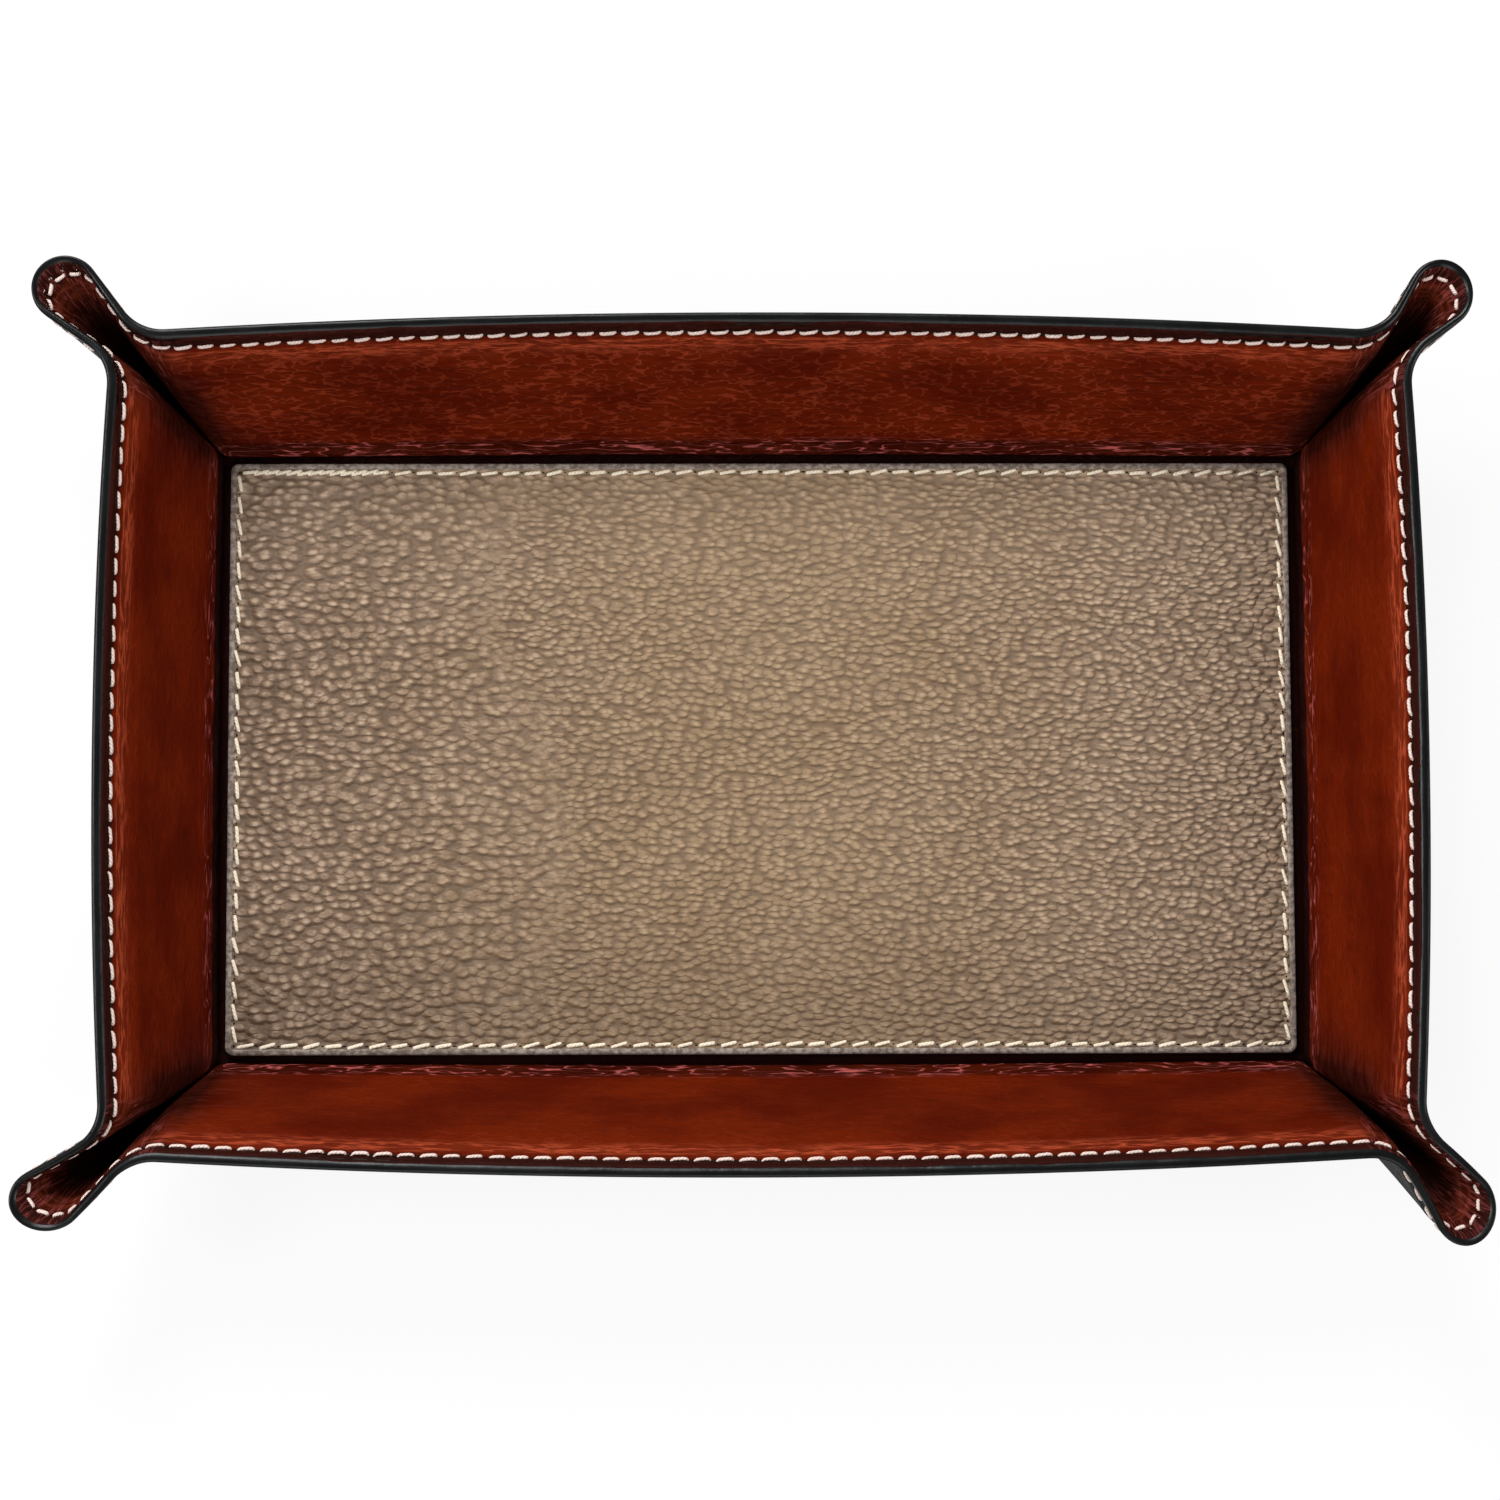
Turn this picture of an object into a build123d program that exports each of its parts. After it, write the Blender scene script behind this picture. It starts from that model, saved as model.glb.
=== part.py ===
from build123d import *
import os
from math import acos, atan, atan2, cos, radians, sin, sqrt, tan

os.makedirs("parts", exist_ok=True)

# A leather valet tray: a tub of two leathers glued over boards, with its four corners pinched
# into ears, and a loose stitched pad on its floor. Millimetres, +Z up, the origin on the table
# under the middle of the tray, +X along the long side.

# Loose pad on the floor
pad_length = 215.0
pad_width = 120.0
pad_corner_radius = 1.6
pad_leather = 1.3
pad_core = 0.9
pad_backing = 0.7
pad_paint = 0.3
pad_floor_gap = 1.2
pad_rest_gap = 0.05

# Tub
rim_height = 37.0
wall_angle = 64.5
rim_bow_angle = 3.3
fold_bow_angle = 0.2
shell_leather = 1.2
lining_leather = 1.0
glue_line = 0.05
fold_radius = 3.0
lining_fold_radius = 1.0
fold_steps = 3

# Boards hidden between the two leathers
floor_board = 2.0
wall_board = 0.8
board_edge_gap = 0.6
wall_board_foot = 2.2
wall_board_below_rim = 8.0
lining_ramp = 2.4

# Pinched ears, open at the rim and closed towards the floor
ear_length = 19.0
keel_start = 1.6
neck_least_length = 0.4
neck_inside_low = 0.15
neck_inside_rim = 2.65
lobe_inside_low = 0.3
lobe_inside_rim = 4.55
neck_hollow_low = 1.4
neck_hollow_rim = 9.5
ear_level_shares = (0.34, 0.58)

# Painted rim
rim_paint = 0.45
rim_paint_round = 0.4

# Thread, its stitches and the groove they lie in
thread = 0.7
stitch_pitch = 4.4
stitch_gap = 0.75
stitch_clearance = 0.04
shell_stitch_stand = 0.25
groove_depth = 0.3
groove_land = 0.25
groove_side = 0.3
rim_stitch_drop = 3.1
pad_stitch_inset = 1.9

# Thread tack that holds each pinch
tack_thread = 0.9
tack_height = 15.0
tack_span = 4.0
tack_corner_radius = 0.8
tack_clearance = 0.1
tack_place_share = 0.42

# Overrun of every cutting tool
overrun = 1.0

# Sizes that follow from the ones above
lean = 1 / tan(radians(wall_angle))
slant = 1 / sin(radians(wall_angle))
half_turn = tan(radians(wall_angle) / 2)
lining_back = shell_leather + glue_line
two_leathers = lining_back + lining_leather
board_room = wall_board + glue_line
lining_base = lining_back + floor_board + glue_line
floor_top = lining_base + lining_leather
leather_top = rim_height - rim_paint
ear_reach = rim_height * lean * sqrt(2) + ear_length
keel_slant = 1 / sin(atan(rim_height / ear_reach))
foot_growth = (two_leathers + board_room) * slant - floor_top * lean
foot_half_length = pad_length / 2 + pad_floor_gap + foot_growth
foot_half_width = pad_width / 2 + pad_floor_gap + foot_growth
board_low = floor_top + wall_board_foot
board_high = rim_height - wall_board_below_rim
lining_settled = board_high + lining_ramp
rim_stitch_height = rim_height - rim_stitch_drop
stitch_length = stitch_pitch - stitch_gap
pad_base = floor_top + pad_rest_gap
core_base = pad_base + pad_backing + glue_line
pad_leather_base = core_base + pad_core + glue_line
pad_top = pad_leather_base + pad_leather
ear_heights = [rim_height * share for share in ear_level_shares]
ear_names = {
    "back_right": (1, 1),
    "back_left": (-1, 1),
    "front_left": (-1, -1),
    "front_right": (1, -1),
}


def between(low, high, share):
    """A size that runs in a straight line from its value at the fold to the one at the rim."""
    return low + (high - low) * share


def wall_shift(height, depth):
    """How far out of the foot the wall stands, at a height and a depth under its outer face."""
    return height * lean - depth * slant


def bow_at(height):
    """The angle at which a bowed side leaves its ears, at a height."""
    return radians(between(fold_bow_angle, rim_bow_angle, height / rim_height))


def ear_sizes(height, depth):
    """Half neck, lobe radius, hollow radius and reach of an ear, at a height and a depth."""
    share = height / rim_height
    under = two_leathers - depth
    neck = between(neck_inside_low, neck_inside_rim, share * share) + under
    lobe = between(lobe_inside_low, lobe_inside_rim, share * share) + under
    hollow = between(neck_hollow_low, neck_hollow_rim, share) + depth * slant
    reach = between(keel_start, ear_reach, share) - depth * between(keel_slant, 1, share)
    return neck, lobe, hollow, reach


def ear_outline(height, shift, depth, padding):
    """The eleven points of an ear from the long side to the short one, as (out, across).

    A hollow arc leaves the bowed side, a straight neck touches it, and a round lobe closes the
    neck. Out is counted from the foot's corner along the diagonal. Padding behind the sides
    draws them in and slides the hollow back along the same neck.
    """
    neck, lobe, hollow, reach = ear_sizes(height, depth)
    side_turn = radians(135) - bow_at(height)
    hollow_across = neck + hollow
    corner = (shift + padding * slant) * sqrt(2)
    hollow_out = corner + (hollow + hollow_across * cos(side_turn)) / sin(side_turn)
    nearest_apart = (hollow + lobe) ** 2 + neck_least_length**2
    nearest = hollow_out + sqrt(nearest_apart - hollow_across**2)
    lobe_out = max(reach - lobe, nearest)
    apart = sqrt((hollow_out - lobe_out) ** 2 + hollow_across**2)
    neck_turn = atan2(hollow_across, hollow_out - lobe_out) - acos((hollow + lobe) / apart)
    wall_turn = side_turn - radians(90)
    slide = padding * slant * sqrt(2) * sin(side_turn) / cos(side_turn - neck_turn)
    hollow_out -= slide * sin(neck_turn)
    hollow_across += slide * cos(neck_turn)

    def on_hollow(turn):
        return (hollow_out - hollow * cos(turn), hollow_across - hollow * sin(turn))

    def on_lobe(turn):
        return (lobe_out + lobe * cos(turn), lobe * sin(turn))

    half = [on_hollow(wall_turn), on_hollow((wall_turn + neck_turn) / 2), on_hollow(neck_turn)]
    half += [on_lobe(neck_turn), on_lobe(neck_turn / 2)]
    mirrored = [(out, -across) for out, across in reversed(half)]
    return half + [on_lobe(0)] + mirrored


def foot_point(out, across, height):
    """A point of an ear's outline, at the back right corner of the tray."""
    return Vector(
        foot_half_length + (out - across) / sqrt(2),
        foot_half_width + (out + across) / sqrt(2),
        height,
    )


def ear_edges(points):
    """Hollow, neck, half lobe, half lobe, neck and hollow through the points of an ear."""
    return [
        Edge.make_three_point_arc(points[0], points[1], points[2]),
        Edge.make_line(points[2], points[3]),
        Edge.make_three_point_arc(points[3], points[4], points[5]),
        Edge.make_three_point_arc(points[5], points[6], points[7]),
        Edge.make_line(points[7], points[8]),
        Edge.make_three_point_arc(points[8], points[9], points[10]),
    ]


def side_edge(start, end, bow):
    """A side that leaves both of its ears at the bow angle and bulges outward between them."""
    middle = (start + end) / 2
    bulge = (end - start).length / 2 * tan(bow / 2)
    outward = Vector(middle.X, middle.Y, 0).normalized()
    return Edge.make_three_point_arc(start, middle + outward * bulge, end)


def level_wire(height, shift, depth, padding):
    """The closed outline of the tub at one height, with its four ears and bowed sides."""
    outline = ear_outline(height, shift, depth, padding)
    first = [foot_point(out, across, height) for out, across in outline]
    corners = []
    for sign_x, sign_y in ((1, 1), (-1, 1), (-1, -1), (1, -1)):
        placed = [Vector(sign_x * p.X, sign_y * p.Y, p.Z) for p in first]
        corners.append(placed if sign_x * sign_y < 0 else placed[::-1])
    edges = []
    for number, points in enumerate(corners):
        following = corners[(number + 1) % len(corners)]
        edges += ear_edges(points)
        edges.append(side_edge(points[-1], following[0], bow_at(height)))
    return Wire(edges)


def tub(levels):
    """A solid through the outlines of its levels, straight from each one to the next."""
    return Solid.make_loft([level_wire(*level) for level in levels], ruled=True)


def wall_level(height, depth, padding=0):
    """A level on the plain wall, where padding is what lies behind the sides but not the ears."""
    return (height, wall_shift(height, depth + padding), depth, padding)


def fold_levels(base, depth, radius, padding=0):
    """The levels of the rounded fold between a flat floor and the wall, from the floor up."""
    start = wall_shift(base, depth + padding) - radius * half_turn
    turns = [radians(wall_angle) * step / fold_steps for step in range(fold_steps + 1)]
    steps = [(base + radius * (1 - cos(turn)), start + radius * sin(turn)) for turn in turns]
    return [(height, shift, depth, padding) for height, shift in steps]


def plain_levels(base, depth, radius):
    """The levels of a leather face that follows the wall in one line from fold to rim."""
    heights = ear_heights + [board_high, lining_settled, leather_top]
    return fold_levels(base, depth, radius) + [wall_level(height, depth) for height in heights]


def padded_levels(base, depth, radius):
    """The levels of a leather face that climbs over the wall boards and settles above them."""
    levels = fold_levels(base, depth, radius, board_room)
    levels += [wall_level(height, depth, board_room) for height in ear_heights + [board_high]]
    levels.append(wall_level(lining_settled, depth))
    return levels


def groove_levels():
    """The levels of the groove in the lining that the rim stitches lie in."""
    half = thread / 2 + groove_land
    bottom = two_leathers - groove_depth
    return [
        wall_level(rim_stitch_height - half - groove_side, two_leathers),
        wall_level(rim_stitch_height - half, bottom),
        wall_level(rim_stitch_height + half, bottom),
        wall_level(rim_stitch_height + half + groove_side, two_leathers),
    ]


def make_outer_shell():
    outside = plain_levels(0, 0, fold_radius)
    inside = plain_levels(shell_leather, shell_leather, fold_radius - shell_leather)
    return tub(outside) - tub(inside) - tack_holes()


def make_lining():
    outside = padded_levels(lining_base, lining_back, lining_fold_radius + lining_leather)
    outside.append(wall_level(leather_top, lining_back))
    inside = padded_levels(floor_top, two_leathers, lining_fold_radius)
    inside += groove_levels() + [wall_level(leather_top, two_leathers)]
    return tub(outside) - tub(inside) - tack_holes()


def make_rim_paint():
    """A bead of edge paint over the cut edges of both leathers, rounded on both sides."""
    low = leather_top + glue_line
    round_start = rim_height - rim_paint_round * rim_paint
    middle = two_leathers / 2
    narrow = middle - rim_paint_round * rim_paint
    outside = [wall_level(low, 0), wall_level(round_start, 0), wall_level(rim_height, middle - narrow)]
    inside = [
        wall_level(low, two_leathers),
        wall_level(round_start, two_leathers),
        wall_level(rim_height, middle + narrow),
    ]
    return tub(outside) - tub(inside)


# Boards

def side_circle(level, along_x):
    """Centre distance, radius and half length of a side's arc at a level."""
    height = level[0]
    out, across = ear_outline(*level)[0]
    end = foot_point(out, across if along_x else -across, height)
    half, distance = (end.X, end.Y) if along_x else (end.Y, end.X)
    radius = half / sin(bow_at(height))
    return distance - radius * cos(bow_at(height)), radius, half


def board_wire(height, along_x):
    """The outline of a wall board at one height, one glue line clear of both leathers."""
    back_centre, back_radius, _ = side_circle(wall_level(height, shell_leather), along_x)
    face_centre, face_radius, half = side_circle(wall_level(height, lining_back, board_room), along_x)
    back_radius -= glue_line * slant
    face_radius += glue_line * slant
    end = half - board_edge_gap

    def place(along, out):
        return Vector(along, out, height) if along_x else Vector(out, -along, height)

    def arc(centre, radius, start, stop):
        first = place(start, centre + sqrt(radius**2 - start**2))
        last = place(stop, centre + sqrt(radius**2 - stop**2))
        return Edge.make_three_point_arc(first, place(0, centre + radius), last), first, last

    back, back_first, back_last = arc(back_centre, back_radius, -end, end)
    face, face_first, face_last = arc(face_centre, face_radius, end, -end)
    sides = [Edge.make_line(back_last, face_first), Edge.make_line(face_last, back_first)]
    return Wire([back, sides[0], face, sides[1]])


def make_wall_board(along_x):
    heights = [board_low] + [height for height in ear_heights if board_low < height < board_high]
    return Solid.make_loft([board_wire(height, along_x) for height in heights + [board_high]], ruled=True)


def plate(half_length, half_width, corner_radius, base, thickness):
    """A flat plate with rounded corners, centred on the tray."""
    outline = RectangleRounded(2 * half_length, 2 * half_width, corner_radius)
    return extrude(Pos(0, 0, base) * outline, thickness)


def make_floor_board():
    inner_radius = fold_radius - shell_leather
    flat = wall_shift(shell_leather, shell_leather) - inner_radius * half_turn - board_edge_gap
    half_length = foot_half_length + flat
    half_width = foot_half_width + flat
    return plate(half_length, half_width, fold_radius, lining_back, floor_board)


# Pad

def pad_plate(inset, base, thickness):
    """A plate with the pad's outline, drawn in by an inset."""
    corner_radius = max(pad_corner_radius - inset, pad_paint)
    return plate(pad_length / 2 - inset, pad_width / 2 - inset, corner_radius, base, thickness)


def make_pad_sheet(base, thickness):
    """One of the sheets that the pad is built up of, under its painted edge."""
    return pad_plate(pad_paint + glue_line, base, thickness)


def make_pad_leather():
    half = thread / 2 + groove_land
    bottom = pad_top - groove_depth
    depth = groove_depth + overrun
    groove = pad_plate(pad_stitch_inset - half, bottom, depth)
    groove -= pad_plate(pad_stitch_inset + half, bottom - overrun, depth + 2 * overrun)
    return make_pad_sheet(pad_leather_base, pad_leather) - groove


def make_pad_paint():
    """The coat of edge paint round the pad."""
    height = pad_top - pad_base
    return pad_plate(0, pad_base, height) - pad_plate(pad_paint, pad_base - overrun, height + 2 * overrun)


# Thread

def make_stitch():
    """One visible run of thread along X, a round bar with round ends."""
    radius = thread / 2
    straight = stitch_length / 2 - radius
    slope = radius / sqrt(2)
    edges = [
        Edge.make_line((-straight - radius, 0), (straight + radius, 0)),
        Edge.make_three_point_arc((straight + radius, 0), (straight + slope, slope), (straight, radius)),
        Edge.make_line((straight, radius), (-straight, radius)),
        Edge.make_three_point_arc((-straight, radius), (-straight - slope, slope), (-straight - radius, 0)),
    ]
    return revolve(Face(Wire(edges)), Axis.X, 360)


def make_stitches(path, inward):
    """Stitches all along a path, each one on the side of the path that inward gives.

    Where the path turns away from that side a stitch lies on its chord, and elsewhere on its
    tangent, so that no stitch dips into the leather.
    """
    stitch = make_stitch()
    count = round(path.length / stitch_pitch)
    reach = stitch_length / path.length / 2
    placed = []
    for number in range(count):
        share = (number + 1 / 2) / count
        middle = path.position_at(share)
        start = path.position_at(share - reach)
        end = path.position_at(share + reach)
        run = end - start
        chord = (start + end) / 2
        clear_side = Vector(0, 0, inward).cross(run)
        origin = chord if (chord - middle).dot(clear_side) > 0 else middle
        placed.append(Plane(origin=origin, x_dir=run, z_dir=(0, 0, 1)).location * stitch)
    return placed


def make_rim_stitches():
    """The rim's line of stitches, seen inside in the lining's groove and outside on the shell."""
    rise = thread / 2 + stitch_clearance
    inside = level_wire(*wall_level(rim_stitch_height, two_leathers - groove_depth + rise))
    outside = level_wire(*wall_level(rim_stitch_height, -rise - shell_stitch_stand))
    return Compound(make_stitches(inside, 1) + make_stitches(outside, -1))


def make_pad_stitches():
    half_length = pad_length / 2 - pad_stitch_inset
    half_width = pad_width / 2 - pad_stitch_inset
    height = pad_top - groove_depth + thread / 2 + stitch_clearance
    placed = []
    for side in (Pos(0, 0, height) * Rectangle(2 * half_length, 2 * half_width)).edges():
        placed += make_stitches(side, 1)
    return Compound(placed)


# Tacks

def tack_place():
    """How far out along its diagonal an ear is tacked."""
    corner = wall_shift(tack_height, 0) * sqrt(2)
    reach = ear_sizes(tack_height, 0)[3]
    return between(corner, reach, tack_place_share)


def tack_half_width():
    """Half the width of a tack's loop, so that it clears the widest part of the ear there."""
    return ear_sizes(tack_height + tack_thread, 0)[1] + tack_thread / 2 + tack_clearance


def on_ear(sign_x, sign_y, out):
    """A frame on an ear's diagonal at the tacks' height, its own X pointing outward."""
    point = foot_point(out, 0, tack_height)
    turn = 45 * sign_x * sign_y + (0 if sign_x > 0 else 180)
    return Pos(sign_x * point.X, sign_y * point.Y, point.Z) * Rot(0, 0, turn)


def tack_holes():
    """The needle holes of the four tacks, through both sides of each pinch."""
    length = 2 * (tack_half_width() + overrun)
    drill = Rot(90, 0, 0) * Cylinder(tack_thread / 2 + tack_clearance, length)
    holes = []
    for sign_x, sign_y in ear_names.values():
        for side in (-1, 1):
            holes.append(on_ear(sign_x, sign_y, tack_place() + side * tack_span / 2) * drill)
    return holes


def make_tack(sign_x, sign_y):
    """A closed loop of thread through both needle holes of a pinch."""
    path = RectangleRounded(tack_span, 2 * tack_half_width(), tack_corner_radius).wire()
    start = Plane(origin=path.position_at(0), z_dir=path.tangent_at(0))
    loop = sweep(start * Circle(tack_thread / 2), path=path)
    return on_ear(sign_x, sign_y, tack_place()) * loop


# Every piece under the name of its node

def make_nodes():
    nodes = {
        "outer_shell": make_outer_shell(),
        "lining": make_lining(),
        "rim_edge_paint": make_rim_paint(),
        "rim_stitches": make_rim_stitches(),
        "floor_board": make_floor_board(),
    }
    long_board = make_wall_board(True)
    short_board = make_wall_board(False)
    nodes["wall_board_back"] = long_board
    nodes["wall_board_front"] = Rot(0, 0, 180) * long_board
    nodes["wall_board_right"] = short_board
    nodes["wall_board_left"] = Rot(0, 0, 180) * short_board
    for name, (sign_x, sign_y) in ear_names.items():
        nodes["ear_tack_" + name] = make_tack(sign_x, sign_y)
    nodes["pad_backing"] = make_pad_sheet(pad_base, pad_backing)
    nodes["pad_core"] = make_pad_sheet(core_base, pad_core)
    nodes["pad_leather"] = make_pad_leather()
    nodes["pad_edge_paint"] = make_pad_paint()
    nodes["pad_stitches"] = make_pad_stitches()
    return nodes


for node_name, node_shape in make_nodes().items():
    export_step(node_shape, "parts/" + node_name + ".step")
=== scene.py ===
import math
import bpy
import numpy as np
from mathutils import Matrix, Vector


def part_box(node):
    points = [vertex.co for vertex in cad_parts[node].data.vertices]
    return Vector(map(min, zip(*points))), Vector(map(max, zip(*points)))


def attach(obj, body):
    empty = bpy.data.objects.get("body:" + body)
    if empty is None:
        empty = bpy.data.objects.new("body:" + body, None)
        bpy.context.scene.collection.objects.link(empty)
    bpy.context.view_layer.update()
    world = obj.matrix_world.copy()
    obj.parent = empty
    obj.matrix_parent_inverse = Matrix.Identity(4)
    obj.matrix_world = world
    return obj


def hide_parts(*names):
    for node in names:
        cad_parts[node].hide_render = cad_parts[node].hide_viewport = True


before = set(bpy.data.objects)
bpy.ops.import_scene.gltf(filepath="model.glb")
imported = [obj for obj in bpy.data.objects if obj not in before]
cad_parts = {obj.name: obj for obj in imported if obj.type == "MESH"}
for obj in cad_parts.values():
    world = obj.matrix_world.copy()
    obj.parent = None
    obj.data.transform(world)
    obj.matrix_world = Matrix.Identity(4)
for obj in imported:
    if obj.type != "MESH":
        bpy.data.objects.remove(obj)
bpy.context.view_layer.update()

# Lengths below are in millimetres, as the leather worker thinks of them, and one factor turns
# them into metres where Blender needs them.
MM = 0.001


def cad_corners(node):
    """The lowest and highest corner of a CAD node, in millimetres."""
    low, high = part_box(node)
    return np.array(low) / MM, np.array(high) / MM


# Sizes read from the frame
pad_low, pad_high = cad_corners("pad_edge_paint")
pad_half_length, pad_half_width, pad_top = pad_high
pad_base = pad_low[2]
pad_leather_base = cad_corners("pad_leather")[0][2]
lining_base = cad_corners("lining")[0][2]
rim_height = cad_corners("rim_edge_paint")[1][2]
board_high = cad_corners("wall_board_back")[1][2]

# Sizes of the construction
wall_angle = math.radians(64.5)
rim_bow_angle = 3.3
fold_bow_angle = 0.2
shell_leather = 1.2
lining_leather = 1.0
glue_line = 0.05
wall_board = 0.8
fold_radius = 3.0
lining_fold_radius = 1.4
lining_ramp = 2.4
fold_ridge, fold_groove = 2.5, 4.4
pad_floor_gap = 1.2
keel_start, ear_reach = 1.6, 44.0
least_neck = 0.05
neck_inside_low, neck_inside_rim = 0.15, 2.65
lobe_inside_low, lobe_inside_rim = 0.3, 4.9
lobe_rim_share = 0.8
neck_hollow_low, neck_hollow_rim = 1.4, 9.5
rim_stitch_drop = 2.8
lobe_stitch_lift = 0.5
rim_skive = 0.5
skive_above_board, skive_below_stitch = 1.0, 1.5
stitch_pitch = 4.4
thread = 0.78
pad_stitch_inset = 1.9
pad_corner_radius = 1.6
pad_overstitches = 6
rim_paint = 0.45

# How far each real ear stands out past or short of the mean, and leans to one side:
# back right, back left, front left, front right
ear_extra = np.array([-2.2, 0.3, 0.3, 0.3])
ear_sway = np.array([1.4, 0.3, -2.9, -3.1])

# How much further than its plain slope each wall leans out at the rim
lean_back, lean_front, lean_left, lean_right = 0.95, 0.8, 0.5, 0.0
lean_power = 2.5

# Sizes that follow
lean = 1 / math.tan(wall_angle)
slant = 1 / math.sin(wall_angle)
diagonal = math.sqrt(2)
lining_back = shell_leather + glue_line
two_leathers = lining_back + lining_leather
board_room = wall_board + glue_line
floor_top = lining_base + lining_leather
leather_top = rim_height - rim_paint
rim_leathers = two_leathers - rim_skive
foot_growth = (two_leathers + board_room) * slant - floor_top * lean
foot_half_length = pad_half_length + pad_floor_gap + foot_growth
foot_half_width = pad_half_width + pad_floor_gap + foot_growth
keel_slant = 1 / math.sin(math.atan(rim_height / ear_reach))
rim_stitch_height = rim_height - rim_stitch_drop

# The leather's map counts up from the stitch line. This is where the fold round the floor lies
# on it, and how far below it the caps lie, clear of every zone.
fold_length = lining_fold_radius * wall_angle
fold_rise = lining_fold_radius * (1 - math.cos(wall_angle))
fold_line = fold_ridge - fold_length - (rim_stitch_height - floor_top - fold_rise) * slant
flat_map_drop = 300.0


# Noise

# Large odd numbers that scramble the numbers of a lattice corner
corner_primes = np.array([73856093, 19349663, 83492791])
seed_prime, scramble_prime = 2654435761, 1274126177


def lattice_noise(points, seed):
    """Smooth random values in -1 to 1 at points: a value at every whole lattice corner, eased
    between the corners by 3t^2 - 2t^3 on each axis."""
    cell = np.floor(points).astype(np.int64)
    ease = smooth_step(0, 1, points - cell)
    total = np.zeros(points.shape[:-1])
    for corner in range(8):
        step = np.array([corner & 1, (corner >> 1) & 1, (corner >> 2) & 1])
        key = (cell + step) @ corner_primes + seed * seed_prime
        key = (key ^ (key >> 13)) * scramble_prime & 0xFFFFFFFF
        value = ((key ^ (key >> 16)) & 0xFFFF) / 0x7FFF - 1.0
        total += np.where(step, ease, 1 - ease).prod(axis=-1) * value
    return total


def layered_noise(points, seed, layers):
    """Noise plus finer noise at half the size and half the strength, several times."""
    total = 0
    for layer in range(layers):
        total = total + lattice_noise(points * 2.0**layer, seed + layer) / 2.0**layer
    return total


def bump_at(distance, width):
    """A soft ridge of height 1 at zero distance: exp(-(distance / width)^2)."""
    return np.exp(-((distance / width) ** 2))


def smooth_step(low, high, value):
    """0 below low, 1 above high, and 3t^2 - 2t^3 between."""
    share = np.clip((value - low) / (high - low), 0, 1)
    return share * share * (3 - 2 * share)


def between(low, high, share):
    """The straight run from low to high."""
    return low + (high - low) * share


# The outline of the tub

class Ring:
    """The fixed places round the tub: for each, its side, its quarter, its piece of the outline
    (0 side, 1 hollow, 2 neck, 3 lobe) and its share along that piece. The ring starts at the
    tip of an ear, and each half side runs from its middle to a tip."""

    side_steps = {True: 92, False: 54}
    hollow_steps, neck_steps, lobe_steps = 12, 14, 22
    corners = [(1, 1), (-1, 1), (-1, -1), (1, -1)]

    def __init__(self):
        """Walks the four sides, each from one ear's tip over its middle to the next."""
        runs = []
        for side in range(4):
            is_long = side % 2 == 0
            half = self.half(is_long)
            for ear, run in ((side, half[:0:-1]), ((side + 1) % 4, half[:-1])):
                labels = [is_long, *self.corners[ear], ear]
                runs.append(np.column_stack([np.tile(labels, (len(run), 1)), run]))
        table = np.concatenate(runs)
        long_side, self.sign_x, self.sign_y, ear, piece, self.share = table.T
        self.long_side = long_side > 0
        self.ear, self.piece = ear.astype(int), piece.astype(int)

    def half(self, is_long):
        """Piece numbers and shares along them, from the middle of a side to the tip."""
        steps = [self.side_steps[is_long], self.hollow_steps, self.neck_steps, self.lobe_steps]
        rows = [(piece, step / count) for piece, count in enumerate(steps) for step in range(count)]
        return np.array(rows + [(3, 1.0)])

    def by_piece(self, *values):
        """Values for side, hollow, neck and lobe, each taken where a place lies on that piece."""
        *values, piece = np.broadcast_arrays(*values, self.piece)
        return np.choose(piece, values)

    def from_foot(self, points):
        """How far points lie out along their ear's diagonal from the foot's corner, and across."""
        x = points[..., 0] - self.sign_x * foot_half_length
        y = points[..., 1] - self.sign_y * foot_half_width
        out = (x * self.sign_x + y * self.sign_y) / diagonal
        return out, (y * self.sign_x - x * self.sign_y) / diagonal


def as_rows(values):
    """Values as rows: one per row becomes a column that every place of the ring shares."""
    values = np.asarray(values, float)
    return values[:, None] if values.ndim == 1 else values


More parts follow.
